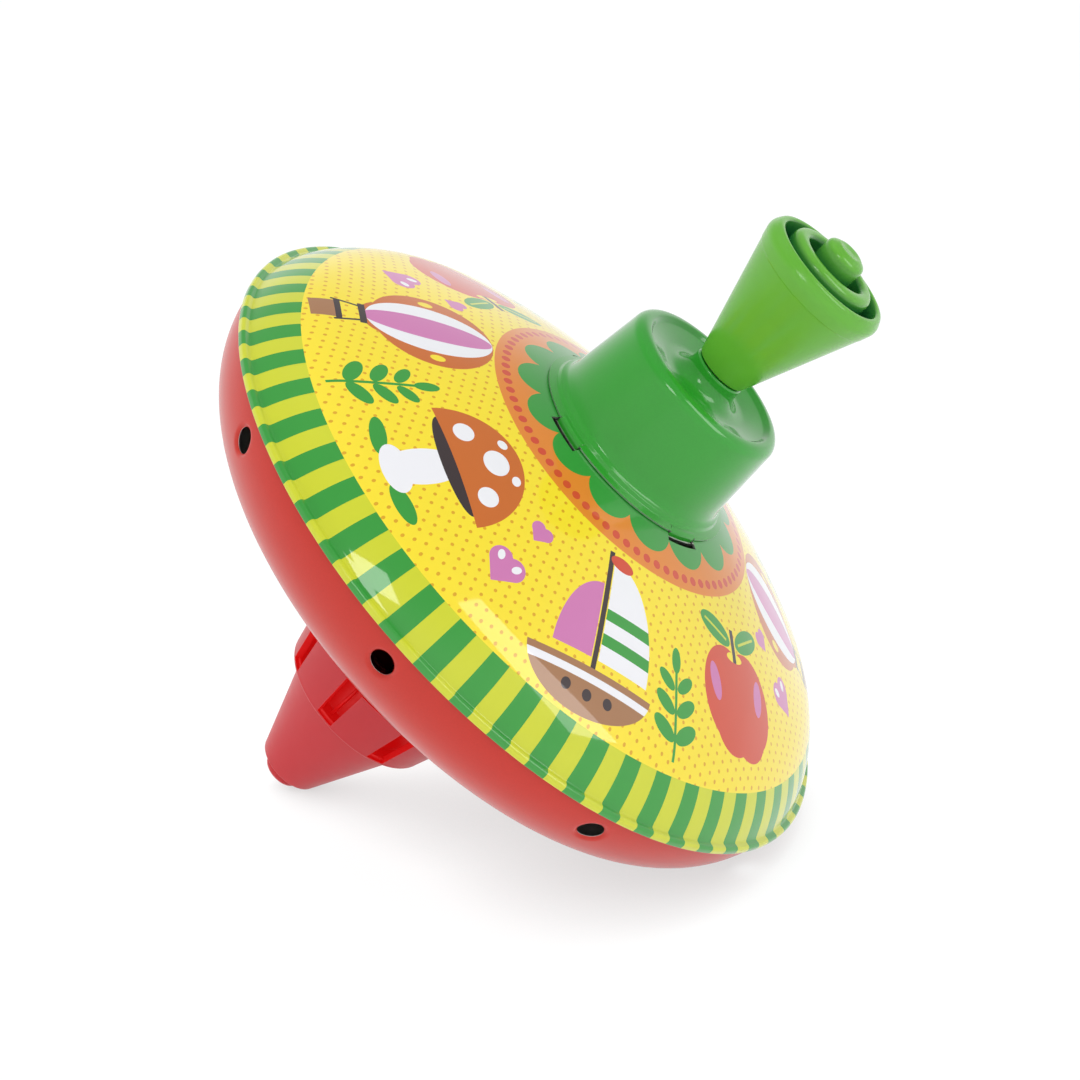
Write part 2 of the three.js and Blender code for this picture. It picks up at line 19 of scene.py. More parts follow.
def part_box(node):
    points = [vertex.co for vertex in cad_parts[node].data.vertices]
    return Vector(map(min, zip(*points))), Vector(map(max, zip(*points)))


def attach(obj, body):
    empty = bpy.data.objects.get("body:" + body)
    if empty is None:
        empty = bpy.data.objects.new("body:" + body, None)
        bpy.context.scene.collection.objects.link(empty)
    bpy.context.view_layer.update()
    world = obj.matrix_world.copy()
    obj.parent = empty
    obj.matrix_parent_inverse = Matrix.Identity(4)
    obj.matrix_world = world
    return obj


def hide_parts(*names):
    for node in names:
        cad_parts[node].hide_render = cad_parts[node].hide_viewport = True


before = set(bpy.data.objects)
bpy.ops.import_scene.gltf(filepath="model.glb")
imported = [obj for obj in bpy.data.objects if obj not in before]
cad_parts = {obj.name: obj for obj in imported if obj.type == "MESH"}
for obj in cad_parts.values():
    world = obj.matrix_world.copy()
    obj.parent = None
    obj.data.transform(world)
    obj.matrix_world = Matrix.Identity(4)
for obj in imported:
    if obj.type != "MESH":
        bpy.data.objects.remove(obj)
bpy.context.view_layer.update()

MM = 0.001
scene = bpy.context.scene
print("parts:", ", ".join(sorted(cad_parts)))

# %% [markdown]
# ## Where the heights are measured from
# The maker of a top thinks from the rim, where both shells meet. All profiles below are written in
# millimetres, as pairs of radius and height above the plane of the rim, and are moved up only when the mesh
# is made. The rim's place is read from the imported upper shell, whose hem reaches a little below it.

# %% The plane of the rim
hem_lip_drop = 0.25
rim_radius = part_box("upper_shell")[1].x / MM
rim_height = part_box("upper_shell")[0].z / MM + hem_lip_drop
tin = 0.5
clearance = 0.3
print(f"rim radius {rim_radius:.1f} mm, rim plane {rim_height:.2f} mm above the tip")

# %% [markdown]
# ## Camera
# The photograph looks at the leaning top from a level camera. Here the top stands upright instead, as it was
# drawn, so the camera leans: it sits at an azimuth and an elevation round the spin axis and is rolled about
# its own line of sight. The long focal length keeps the perspective as weak as in the photograph.

# %% Place the camera
sensor_width = 36.0
camera_lens = 90.07
camera_azimuth = math.radians(90)
camera_elevation = math.radians(23.655)
camera_roll = math.radians(47.674)
camera_distance = 674.16
camera_aside = Vector((0.98, -0.37))

camera_back = Vector((
    math.cos(camera_elevation) * math.cos(camera_azimuth),
    math.cos(camera_elevation) * math.sin(camera_azimuth),
    math.sin(camera_elevation),
))
level_right = Vector((0, 0, 1)).cross(camera_back).normalized()
level_up = camera_back.cross(level_right)
camera_right = math.cos(camera_roll) * level_right + math.sin(camera_roll) * level_up
camera_up = camera_back.cross(camera_right)
rim_centre = Vector((0, 0, rim_height))
aside = camera_aside.x * camera_right + camera_aside.y * camera_up
camera_place = rim_centre + aside + camera_distance * camera_back


def facing(right, up, back):
    """The turn that brings an object's own x, y and z axes onto three given directions."""
    return Matrix((right, up, back)).transposed().to_4x4()


camera_data = bpy.data.cameras.new("camera")
camera_data.sensor_width = sensor_width
camera_data.lens = camera_lens
camera_data.clip_end = 20
camera = bpy.data.objects.new("camera", camera_data)
camera.matrix_world = Matrix.Translation(camera_place * MM) @ facing(camera_right, camera_up, camera_back)
scene.collection.objects.link(camera)
scene.camera = camera
print("camera at", [round(value, 1) for value in camera_place], "mm")

# %% [markdown]
# ## Nodes and inks
# A shader is a chain of small nodes. One function adds a node of any kind, sets its properties and fills
# its inputs, each with a plain value or with another node's output. Inks are written as the hex values that
# a print shop would quote, and one function turns them into the linear light values that Blender mixes.

# %% Helpers for shaders
def add_node(tree, kind, inputs=None, **settings):
    """Adds a node; inputs maps a socket's name or number to a value, an output, or a node's first output."""
    node = tree.nodes.new("ShaderNode" + kind)
    for name, value in settings.items():
        setattr(node, name, value)
    for key, value in (inputs or {}).items():
        if isinstance(value, bpy.types.Node):
            value = value.outputs[0]
        if isinstance(value, bpy.types.NodeSocket):
            tree.links.new(value, node.inputs[key])
        else:
            node.inputs[key].default_value = value
    return node


def ink(hex_value):
    """An sRGB hex value as linear red, green, blue and full opacity, by the sRGB curve's two parts."""
    srgb = np.array([int(hex_value[i : i + 2], 16) / 255 for i in (0, 2, 4)])
    linear = np.where(srgb <= 0.04045, srgb / 12.92, ((srgb + 0.055) / 1.055) ** 2.4)
    return (*linear.tolist(), 1.0)


def new_material(name):
    """An empty material and its tree of nodes."""
    material = bpy.data.materials.new(name)
    material.use_nodes = True
    material.node_tree.nodes.clear()
    return material, material.node_tree


white = (1, 1, 1, 1)
print("yellow ink in linear light:", [round(value, 3) for value in ink("FBE32E")])

# %% [markdown]
# ## Surfaces
# A turned piece is a line in the plane of radius and height, carried round the axis. Pressed tin has no sharp
# corners, so the line is first given a small arc at each corner and then spread into short steps, which
# also keeps the shading even. Lines run with the outside of the piece on their right.

# %% Helpers for profiles and grids
def arc_line(centre, radius, start, end, count):
    """Points on a circle: the centre plus the radius times the cosine and sine of evenly spaced angles."""
    angle = np.radians(np.linspace(start, end, count))
    return np.column_stack([centre[0] + radius * np.cos(angle), centre[1] + radius * np.sin(angle)])


def fillet_line(corners, steps=6):
    """Straight runs between corners given as (radius, height, rounding).
    A corner that turns by an angle starts its arc at rounding times the tangent of half that angle before
    the corner, and the arc is the start plus rounding times sine along the run and one less cosine across."""
    corners = np.array(corners, float)
    line = [corners[0, :2]]
    for before, corner, after in zip(corners[:-2], corners[1:-1], corners[2:]):
        run_in = (corner - before)[:2] / np.hypot(*(corner - before)[:2])
        run_out = (after - corner)[:2] / np.hypot(*(after - corner)[:2])
        side = np.sign(run_in[0] * run_out[1] - run_in[1] * run_out[0])
        turned = math.acos(np.clip(run_in @ run_out, -1, 1))
        rounding = corner[2]
        if rounding == 0 or turned < 1e-6:
            line.append(corner[:2])
            continue
        start = corner[:2] - run_in * rounding * math.tan(turned / 2)
        across = side * np.array([-run_in[1], run_in[0]])
        angle = np.linspace(0, turned, steps + 1)[:, None]
        line.extend(start + rounding * (np.sin(angle) * run_in + (1 - np.cos(angle)) * across))
    line.append(corners[-1, :2])
    return np.array(line)


def spread(line, step):
    """The same line with points added evenly inside every run that is longer than the step."""
    parts = []
    for a, b in zip(line[:-1], line[1:]):
        count = max(1, math.ceil(np.hypot(*(b - a)) / step))
        parts.append(np.linspace(a, b, count, endpoint=False))
    return np.vstack([*parts, line[-1:]])


def turned_grid(line, azimuths):
    """A line of (radius, height) carried round the axis: (r cos a, r sin a, h) for each azimuth a."""
    azimuth = np.radians(azimuths)[None, :]
    radius = line[:, :1]
    height = line[:, 1:] + 0 * azimuth
    return np.stack([radius * np.cos(azimuth), radius * np.sin(azimuth), height], axis=-1)


def grid_faces(rows, columns, first=0, keep=None):
    """Four corners for every cell of a grid that closes on itself sideways, apart from cells left out."""
    i, j = np.meshgrid(np.arange(rows - 1), np.arange(columns), indexing="ij")
    after = (j + 1) % columns
    corners = [i * columns + j, i * columns + after, (i + 1) * columns + after, (i + 1) * columns + j]
    faces = np.stack(corners, axis=-1)
    return faces[keep] + first if keep is not None else faces.reshape(-1, 4) + first


weld_distance = 1e-4
sheet_step = 2.5
moulding_step = 1.5


def make_piece(name, grids, materials, body, node):
    """One object from several grids of points in millimetres; each grid is (points, kept cells)."""
    points, faces, count = [], [], 0
    for grid, keep in grids:
        faces.append(grid_faces(grid.shape[0], grid.shape[1], count, keep))
        points.append(grid.reshape(-1, 3))
        count += points[-1].shape[0]
    used, corners = np.unique(np.vstack(faces), return_inverse=True)
    points = (np.vstack(points)[used] + [0, 0, rim_height]) * MM
    mesh = bpy.data.meshes.new(name)
    mesh.from_pydata(points.tolist(), [], corners.reshape(-1, 4).tolist())
    weld = bmesh.new()
    weld.from_mesh(mesh)
    bmesh.ops.remove_doubles(weld, verts=weld.verts, dist=weld_distance * MM)
    weld.to_mesh(mesh)
    weld.free()
    mesh.shade_smooth()
    for material in materials:
        mesh.materials.append(material)
    piece = bpy.data.objects.new(name, mesh)
    scene.collection.objects.link(piece)
    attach(piece, body)
    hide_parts(node)
    print(f"{name}: {len(mesh.vertices)} points, {len(mesh.polygons)} faces")
    return piece


cut_edge_round = 0.12


def thicken(piece, thickness, edge_round=cut_edge_round):
    """Gives a sheet its thickness below the modelled face, and the next material to its back and edge.
    The cut edges are then rounded a little, so that they catch the light as real cut edges do."""
    solidify = piece.modifiers.new("sheet thickness", "SOLIDIFY")
    solidify.thickness = thickness * MM
    solidify.offset = -1
    solidify.use_even_offset = True
    solidify.material_offset = 1
    solidify.material_offset_rim = 1
    rounded = piece.modifiers.new("rounded edges", "BEVEL")
    rounded.width = edge_round * MM
    rounded.segments = 2
    rounded.limit_method = "ANGLE"
    rounded.angle_limit = math.radians(45)
    rounded.harden_normals = True
    rounded.material = 1


def whole_turn(columns):
    """Evenly spaced azimuths for a number of columns round the axis."""
    return np.linspace(0, 360, columns, endpoint=False)


def with_marks(values, marks, closest):
    """Even values with some exact ones added, and with even ones too close to an exact one taken out."""
    gaps = np.abs(values[:, None] - marks[None, :]).min(axis=1)
    return np.sort(np.concatenate([values[gaps > closest], marks]))


def cells_within(azimuths, middles, half_width):
    """Which cells between neighbouring azimuths have their middle within a half width of any given one."""
    middle = azimuths + (np.roll(azimuths, -1) - azimuths) % 360 / 2
    away = np.abs((middle[:, None] - middles[None, :] + 180) % 360 - 180)
    return (away < half_width).any(axis=1)


print("surface helpers: arcs, fillets, grids, sheets")

# %% [markdown]
# ## Tinplate and its lacquers
# Tinplate is printed flat: a white coat, the inks, and a clear gloss varnish over all, and it is pressed to
# shape afterwards. The varnish is the coat of the shader, a thin clear layer with sharp reflections, over an
# ink layer that is only half glossy. Pressing leaves the sheet very slightly wavy, which shows as soft
# bends in the edges of a reflection, so a broad and shallow noise drives the bump.

# %% Build the lacquer and bare metal shaders
varnish_ior = 1.5


def lacquer_tin(name, colour_of, wave_mm, wave_depth_mm, coat_weight, coat_roughness):
    """Ink or lacquer on tin under clear varnish; the wave is the size and depth of the sheet's ripples."""
    material, tree = new_material(name)
    place = add_node(tree, "TexCoord").outputs["Object"]
    wave = add_node(tree, "TexNoise", {"Vector": place, "Scale": 1 / (wave_mm * MM), "Detail": 1.0})
    bump = add_node(tree, "Bump", {"Height": wave, "Distance": wave_depth_mm * MM, "Strength": 1.0})
    lacquer = {
        "Base Color": colour_of(tree),
        "Roughness": 0.4,
        "Specular IOR Level": 0.15,
        "Coat Weight": coat_weight,
        "Coat Roughness": coat_roughness,
        "Coat IOR": varnish_ior,
        "Coat Normal": bump,
    }
    add_node(tree, "OutputMaterial", {"Surface": add_node(tree, "BsdfPrincipled", lacquer)})
    return material


def grainy(colour, speck_mm=0.45, amount=0.12):
    """A lacquer colour with a fine grain: a noise of the speck's size mixes it with a darker self."""

    def colour_of(tree):
        place = add_node(tree, "TexCoord").outputs["Object"]
        grain = add_node(tree, "TexNoise", {"Vector": place, "Scale": 1 / (speck_mm * MM), "Detail": 2.0})
        light = ink(colour)
        dark = (*[value * (1 - amount) for value in light[:3]], 1.0)
        mixed = add_node(tree, "Mix", {"Factor": grain, "A": light, "B": dark}, data_type="RGBA")
        return mixed.outputs["Result"]

    return colour_of


def bare_metal(name, colour, roughness, grain_mm, stretch):
    """Bare metal with fine rolling or drawing marks: a noise stretched along one axis wears the gloss."""
    material, tree = new_material(name)
    place = add_node(tree, "TexCoord").outputs["Object"]
    marks = add_node(tree, "Mapping", {"Vector": place, "Scale": stretch})
    grain = add_node(tree, "TexNoise", {"Vector": marks, "Scale": 1 / (grain_mm * MM), "Detail": 3.0})
    worn = add_node(tree, "MapRange", {"Value": grain, "To Min": roughness * 0.7, "To Max": roughness * 1.3})
    metal = {"Base Color": ink(colour), "Metallic": 1.0, "Roughness": worn}
    add_node(tree, "OutputMaterial", {"Surface": add_node(tree, "BsdfPrincipled", metal)})
    return material


print("varnish reflects", round(((varnish_ior - 1) / (varnish_ior + 1)) ** 2, 3), "of light square on")

# %% Red, green and bare tin, and steel
# Lacquer stoved on rolled tin: a deep colour, with a thinner gloss on the red than on the green. The
# numbers are the size and depth of the waves in mm, then the weight and roughness of the coat.
red_tin = lacquer_tin("red_lacquered_tinplate", grainy("CC3226"), 22, 0.015, 0.45, 0.07)
green_tin = lacquer_tin("green_lacquered_tinplate", grainy("2BA029"), 14, 0.003, 1.0, 0.09)
# Cut tin is pale and dull. Steel drawn through a die is brighter, with marks along its length. The
# numbers are the roughness and the size of the marks in mm.
bare_tin = bare_metal("bare_tinplate", "D6D6D2", 0.42, 0.4, (1, 1, 1))
drawn_steel = bare_metal("drawn_steel", "BBBDC0", 0.28, 0.25, (1, 1, 0.08))
print("tin finishes: red, green, bare; rod steel")

# %% [markdown]
# ## The print
# The upper shell is decorated all over: a striped border, a yellow field of small dots with pictures in it,
# an orange ring with red dots, and green scallops round the cap. Stripes, dots and scallops repeat evenly
# round the axis, so one function folds the sheet: it brings every repeat to the same place, and the motif
# is then drawn once. The sheet was printed flat, so everything is drawn in plain x and y.

# %% Colours and sizes of the printed border and rings
inks = {
    "yellow": "FBE32E",
    "ochre": "E0A81E",
    "lime": "D0D62B",
    "leaf": "329A38",
    "orange": "E6882A",
    "red": "D4482A",
    "pink": "D07AB4",
    "brown": "A5754E",
    "rust": "CB6A22",
    "dark": "35282A",
    "white": "F2F2F7",
}
stripe_pairs = 53
stripe_start = 84.5
stripe_inner_radius = 85.5
field_inner_radius = 42.2
ring_dot_radius = 39.4
ring_dot_size = 1.1
ring_dots = 75
ring_start = 98
scallops = 15
scallop_centre_radius = 29.85
scallop_size = 6.55
field_dot_pitch = 2.6
field_dot_size = 0.42
field_dot_turn = math.radians(21)
print(stripe_pairs, "stripe pairs,", scallops, "scallops,", ring_dots, "ring dots")


# %% Fold the sheet and stamp shapes on it
def fold(tree, azimuth, radius, repeats, start):
    """Brings every one of some equal sectors round the axis to the one whose middle points along x.
    The azimuth less the start is taken to the nearest whole sector, and what is left gives back x and y."""
    sector = 360 / repeats
    angle = azimuth
    shares = [("SUBTRACT", start - sector / 2), ("DIVIDE", sector), ("FRACT", 0), ("SUBTRACT", 0.5)]
    for operation, number in [*shares, ("MULTIPLY", math.radians(sector))]:
        angle = add_node(tree, "Math", {0: angle, 1: number}, operation=operation)
    cosine = add_node(tree, "Math", {0: angle}, operation="COSINE")
    sine = add_node(tree, "Math", {0: angle}, operation="SINE")
    unit = add_node(tree, "CombineXYZ", {"X": cosine, "Y": sine})
    return add_node(tree, "VectorMath", {0: unit, "Scale": radius}, operation="SCALE").outputs[0]


def oval(tree, local):
    """How far a point lies from an oval's middle, as a share of the oval: below 1 is inside."""
    return add_node(tree, "VectorMath", {0: local}, operation="LENGTH").outputs["Value"]


def slab(tree, local):
    """The same for a rectangle: the larger of the two distances from its middle, as shares of its halves."""
    size = add_node(tree, "VectorMath", {0: local}, operation="ABSOLUTE")
    parts = add_node(tree, "SeparateXYZ", {0: size})
    return add_node(tree, "Math", {0: parts.outputs["X"], 1: parts.outputs["Y"]}, operation="MAXIMUM")


def from_shape(tree, place, outline, shape):
    """Distance from a shape (u, v, half width, half height, turn): the place is moved to the middle, turned
    back and divided by the halves, and the outline's own function measures what is left."""
    u, v, half_u, half_v, turned = shape
    settings = {
        "Vector": place,
        "Location": (u, v, 0),
        "Rotation": (0, 0, math.radians(turned)),
        "Scale": (half_u, half_v, 1),
    }
    return outline(tree, add_node(tree, "Mapping", settings, vector_type="TEXTURE"))


def print_over(tree, under, distance, colour, limit=1.0):
    """Prints an ink over the colour under it wherever the distance is below the limit."""
    inside = add_node(tree, "Math", {0: distance, 1: limit}, operation="LESS_THAN")
    mixed = add_node(tree, "Mix", {"Factor": inside, "A": under, "B": ink(inks[colour])}, data_type="RGBA")
    return mixed.outputs["Result"]


def stamp(tree, under, place, shapes):
    """Prints shapes in order: an ink, an outline and its measures, and maybe a second that it overlaps."""
    for colour, *outlines in shapes:
        pairs = zip(outlines[::2], outlines[1::2])
        distances = [from_shape(tree, place, outline, shape) for outline, shape in pairs]
        distance = distances[0]
        if len(distances) == 2:
            distance = add_node(tree, "Math", {0: distance, 1: distances[1]}, operation="MAXIMUM")
        under = print_over(tree, under, distance, colour)
    return under


print("print helpers: fold, oval, slab, from_shape, print_over, stamp")

# %% [markdown]
# ## The pictures in the field
# A toy's sheet has simple flat pictures, each built from a few shapes of one ink, printed one over the other.
# The pictures here are a toadstool, a balloon, a sailing boat and an apple, with hearts and leaf sprigs
# between them. They stand with their tops towards the cap, each a little tilted. A picture that is the same
# on both sides is drawn once and mirrored, by taking its sideways coordinate without its sign.

# %% Shapes of the pictures, in millimetres from the middle of each
toadstool = [
    ("leaf", oval, (9.6, -14.6, 5.6, 1.9, 12)),
    ("white", oval, (0, -7.5, 5, 9.4, 0)),
    ("white", oval, (0, -13.6, 6.8, 3.3, 0)),
    ("dark", oval, (0, 0.8, 14.2, 3.6, 0)),
    ("rust", oval, (0, 0, 17, 17, 0), slab, (0, 10.6, 20, 10, 0)),
    ("white", oval, (0, 10.6, 3.6, 3.1, 0)),
    ("white", oval, (9.2, 5.6, 2.7, 2.5, 0)),
    ("white", oval, (5.2, 14, 1.4, 1.1, -20)),
]
balloon = [
    ("dark", slab, (3.4, -10.5, 0.35, 5.5, 14)),
    ("rust", oval, (0, -4.6, 7, 5.2, 0)),
    ("rust", oval, (0, 7, 15.5, 14.5, 0)),
    ("white", oval, (0, 6.4, 10.2, 15, 0)),
    ("pink", oval, (0, 5.9, 4.8, 15.4, 0)),
    ("dark", slab, (0, -9.2, 4.4, 0.8, 0)),
    ("brown", slab, (0, -17.5, 3.9, 2.9, 0)),
    ("dark", slab, (0, -14.6, 4.6, 0.7, 0)),
    ("yellow", oval, (12.4, 7, 1.2, 1.8, 0)),
]
boat = [
    ("white", oval, (0.9, -7.5, 15, 26, 0), slab, (11, 7, 10, 14, 0)),
    ("leaf", oval, (0.9, -7.5, 15, 26, 0), slab, (11, -1.6, 10, 1.4, 0)),
    ("leaf", oval, (0.9, -7.5, 15, 26, 0), slab, (11, 4.6, 10, 1.4, 0)),
    ("pink", oval, (-0.9, -7.5, 11, 19, 0), slab, (-11, 7, 10, 14, 0)),
    ("dark", slab, (0, 5.6, 0.7, 15, 0)),
    ("red", oval, (3.2, 18.4, 3.4, 1.7, -8)),
    ("brown", oval, (0, -9, 18, 11, 0), slab, (0, -15.5, 19, 6.2, 0)),
    ("white", oval, (0, -9, 18, 11, 0), slab, (0, -11.8, 19, 0.9, 0)),
    ("dark", oval, (-6, -15.2, 1.3, 1.3, 0)),
    ("dark", oval, (0, -15.6, 1.3, 1.3, 0)),
    ("dark", oval, (6, -15.2, 1.3, 1.3, 0)),
]
apple = [
    ("red", oval, (4.4, -1, 10, 11.5, -6)),
    ("red", oval, (3.2, -6, 8, 8.5, 0)),
    ("pink", oval, (9.6, 1.4, 1.9, 4.4, -10)),
    ("yellow", oval, (0, 8.6, 3.4, 1.2, 0)),
    ("dark", slab, (0, 11.4, 0.75, 4, 0)),
    ("leaf", oval, (7, 14.2, 6.2, 2.8, 24)),
    ("lime", slab, (7, 14.2, 4.6, 0.3, 24)),
]
heart = [
    ("pink", oval, (2.1, 1.5, 2.9, 2.9, 0)),
    ("pink", slab, (0, -0.5, 2.95, 2.95, 45)),
    ("pink", oval, (1.3, 15, 1.75, 1.75, 0)),
    ("pink", slab, (0, 13.8, 1.75, 1.75, 45)),
    ("white", oval, (2.5, 2.1, 0.9, 1.3, -30)),
]
sprig = [
    ("leaf", slab, (0, -1.5, 0.42, 10.5, 0)),
    ("leaf", oval, (3.7, -5.6, 4, 1.9, 32)),
    ("leaf", oval, (3.5, 0.2, 3.6, 1.7, 34)),
    ("leaf", oval, (3.1, 5.4, 3.1, 1.5, 38)),
    ("leaf", oval, (0, 10.4, 1.5, 3, 0)),
]
# The azimuth, radius and tilt of each picture, and whether it is the same on both sides.
pictures = [
    (balloon, 22, 64, 10, True),
    (toadstool, 67, 63.5, -12, True),
    (boat, 113, 64.5, 9, False),
    (apple, 157.5, 65, -14, True),
]
# How many there are round the top, the azimuth of the first, and the radius.
between = [(heart, 4, 90, 70), (sprig, 4, 45, 71)]
print(sum(len(shapes) for shapes, *_ in pictures + between), "shapes in the pictures")


# %% [markdown]
# ## From flat sheet to shader
# The azimuth and the radius of each point come from its own place on the object, so the print stays on the
# tin when the top spins. A half turn brings the lower half of the sheet onto the upper one, so each of
# the four pictures is printed twice round the top.

# %% Build the print's shader
def picture_place(tree, sheet, azimuth, radius, tilt=0, mirrored=True):
    """Coordinates from a picture's middle, with its top towards the axis and turned by its tilt."""
    angle = math.radians(azimuth)
    settings = {
        "Vector": sheet,
        "Location": (radius * math.cos(angle), radius * math.sin(angle), 0),
        "Rotation": (0, 0, angle + math.radians(90 + tilt)),
    }
    local = add_node(tree, "Mapping", settings, vector_type="TEXTURE")
    if not mirrored:
        return local
    parts = add_node(tree, "SeparateXYZ", {0: local})
    side = add_node(tree, "Math", {0: parts.outputs["X"]}, operation="ABSOLUTE")
    return add_node(tree, "CombineXYZ", {"X": side, "Y": parts.outputs["Y"]})


def dotted_field(tree, flat):
    """The field's dots: the sheet is turned and cut into square cells, with a dot in the middle of each."""
    settings = {"Vector": flat, "Rotation": (0, 0, field_dot_turn), "Scale": [field_dot_pitch] * 3}
    lattice = add_node(tree, "Mapping", settings, vector_type="TEXTURE")
    cell = add_node(tree, "VectorMath", {0: lattice}, operation="FRACTION")
    centred = add_node(tree, "VectorMath", {0: cell, 1: (0.5, 0.5, 0)}, operation="SUBTRACT")
    dot = add_node(tree, "VectorMath", {0: centred}, operation="LENGTH").outputs["Value"]
    return print_over(tree, ink(inks["yellow"]), dot, "ochre", field_dot_size / field_dot_pitch)


def striped_border(tree, azimuth):
    """The border's stripes: the azimuth in stripe pairs, of which the first half of each is green."""
    begun = add_node(tree, "Math", {0: azimuth, 1: stripe_start}, operation="SUBTRACT")
    pairs = add_node(tree, "Math", {0: begun, 1: 360 / stripe_pairs}, operation="DIVIDE")
    within = add_node(tree, "Math", {0: pairs}, operation="FRACT")
    return print_over(tree, ink(inks["lime"]), within, "leaf", 0.5)


def printed_colour(tree):
    """The whole sheet, from the field outwards and then inwards, each ink over the last."""
    place = add_node(tree, "TexCoord").outputs["Object"]
    flat = add_node(tree, "VectorMath", {0: place, 1: (1 / MM, 1 / MM, 0)}, operation="MULTIPLY").outputs[0]
    parts = add_node(tree, "SeparateXYZ", {0: flat})
    radius = add_node(tree, "VectorMath", {0: flat}, operation="LENGTH").outputs["Value"]
    angle = add_node(tree, "Math", {0: parts.outputs["Y"], 1: parts.outputs["X"]}, operation="ARCTAN2")
    degrees = add_node(tree, "Math", {0: angle, 1: 180 / math.pi}, operation="MULTIPLY")
    azimuth = add_node(tree, "Math", {0: degrees, 1: 720}, operation="ADD")

    colour = dotted_field(tree, flat)
    half = add_node(tree, "Math", {0: parts.outputs["Y"], 1: 0}, operation="GREATER_THAN")
    side = add_node(tree, "Math", {0: half, 1: 2, 2: -1}, operation="MULTIPLY_ADD")
    upper = add_node(tree, "VectorMath", {0: flat, "Scale": side}, operation="SCALE")
    for shapes, repeats, start, middle_radius in between:
        folded = fold(tree, azimuth, radius, repeats, start)
        colour = stamp(tree, colour, picture_place(tree, folded, 0, middle_radius), shapes)
    for shapes, *setting in pictures:
        colour = stamp(tree, colour, picture_place(tree, upper, *setting), shapes)

    border = striped_border(tree, azimuth)
    in_border = add_node(tree, "Math", {0: radius, 1: stripe_inner_radius}, operation="GREATER_THAN")
    mixed = add_node(tree, "Mix", {"Factor": in_border, "A": colour, "B": border}, data_type="RGBA")
    colour = print_over(tree, mixed.outputs["Result"], radius, "orange", field_inner_radius)
    dots = ("red", ring_dots, ring_dot_radius, ring_dot_size)
    scallop_discs = ("leaf", scallops, scallop_centre_radius, scallop_size)
    for disc_ink, repeats, middle_radius, size in (dots, scallop_discs):
        folded = fold(tree, azimuth, radius, repeats, ring_start)
        colour = stamp(tree, colour, folded, [(disc_ink, oval, (middle_radius, 0, size, size, 0))])
    return print_over(tree, colour, radius, "leaf", scallop_centre_radius)


printed_tin = lacquer_tin("printed_tinplate", printed_colour, 26, 0.01, 1.0, 0.05)
print("print shader:", len(printed_tin.node_tree.nodes), "nodes")

# %% [markdown]
# ## Upper shell
# The upper shell is pressed from the printed sheet: a wide, nearly flat crown, a rounder shoulder, and a hem
# that is rolled over the lower shell's edge. It could be a stretched sphere, but the crown and the shoulder
# have their own radii, so the line is two arcs that share a tangent, then the hem with small roundings.
# Four slots for the cap's tabs are cells of the grid that are left out.

# %% Profile of the upper shell
hem_width = 2.13
hem_height = 1.88
hem_round = 0.9
hem_lip_round = 0.5
valley_width = hem_width - 0.2
valley_height = hem_height - 0.14
valley_round = 0.6
shoulder_radius = 32
shoulder_foot_angle = 63.05
shoulder_rise = 1.4
shoulder_top_angle = 26.3
crown_radius = 310
crown_hole_radius = 18
lower_inset = 1.4
lower_radius = rim_radius - lower_inset


def on_arc_from_top(centre, radius, angle):
    """The point of an arc at an angle from its top: the centre plus the radius times its sine and cosine."""
    return centre + radius * np.array([math.sin(math.radians(angle)), math.cos(math.radians(angle))])


valley = np.array([rim_radius - hem_width, hem_height])
shoulder_centre = on_arc_from_top(valley, -shoulder_radius, shoulder_foot_angle)
crown_centre = on_arc_from_top(shoulder_centre, shoulder_radius - crown_radius, shoulder_top_angle)


def crown_height(radius):
    """The crown's height at a radius: its centre plus the leg of a triangle with its radius as long side."""
    return crown_centre[1] + math.sqrt(crown_radius**2 - (radius - crown_centre[0]) ** 2)


shoulder_start = 90 - shoulder_foot_angle + shoulder_rise
shoulder = arc_line(shoulder_centre, shoulder_radius, shoulder_start, 90 - shoulder_top_angle, 30)
hem = fillet_line([
    (lower_radius + clearance, -hem_lip_drop, 0),
    (rim_radius, -hem_lip_drop, hem_lip_round),
    (rim_radius, hem_height, hem_round),
    (rim_radius - valley_width, valley_height, valley_round),
    (*shoulder[0], 0),
])
crown_end_angle = 90 - math.degrees(math.asin((crown_hole_radius - crown_centre[0]) / crown_radius))
crown = arc_line(crown_centre, crown_radius, 90 - shoulder_top_angle, crown_end_angle, 45)
upper_line = spread(np.vstack([hem, shoulder[1:], crown[1:]]), sheet_step)
print("upper shell profile:", len(upper_line), "points, crown", round(crown_height(30), 1), "mm up at 30 mm")

# %% Slots for the tabs, and the upper shell itself
tab_azimuths = np.array([62.5, 144, 242.5, 324])
slot_half_angle = 10
slot_inner, slot_outer = 27.9, 30.9
slot_margin = 0.3
slot_edges = np.concatenate([tab_azimuths - slot_half_angle, tab_azimuths + slot_half_angle])
shell_azimuths = with_marks(whole_turn(240), slot_edges, 0.5)
line_radius = upper_line[:, 0]
shell_line = np.vstack([
    upper_line[line_radius > slot_outer + slot_margin],
    [(slot_outer, crown_height(slot_outer)), (slot_inner, crown_height(slot_inner))],
    upper_line[line_radius < slot_inner - slot_margin],
])
in_slot_columns = cells_within(shell_azimuths, tab_azimuths, slot_half_angle)
cell_radius = (shell_line[:-1, 0] + shell_line[1:, 0]) / 2
in_slot_rows = (cell_radius > slot_inner) & (cell_radius < slot_outer)
kept = ~(in_slot_rows[:, None] & in_slot_columns[None, :])
upper_shell = make_piece(
    "upper_shell_print",
    [(turned_grid(shell_line, shell_azimuths), kept)],
    [printed_tin, bare_tin],
    "shell",
    "upper_shell",
)
thicken(upper_shell, tin)

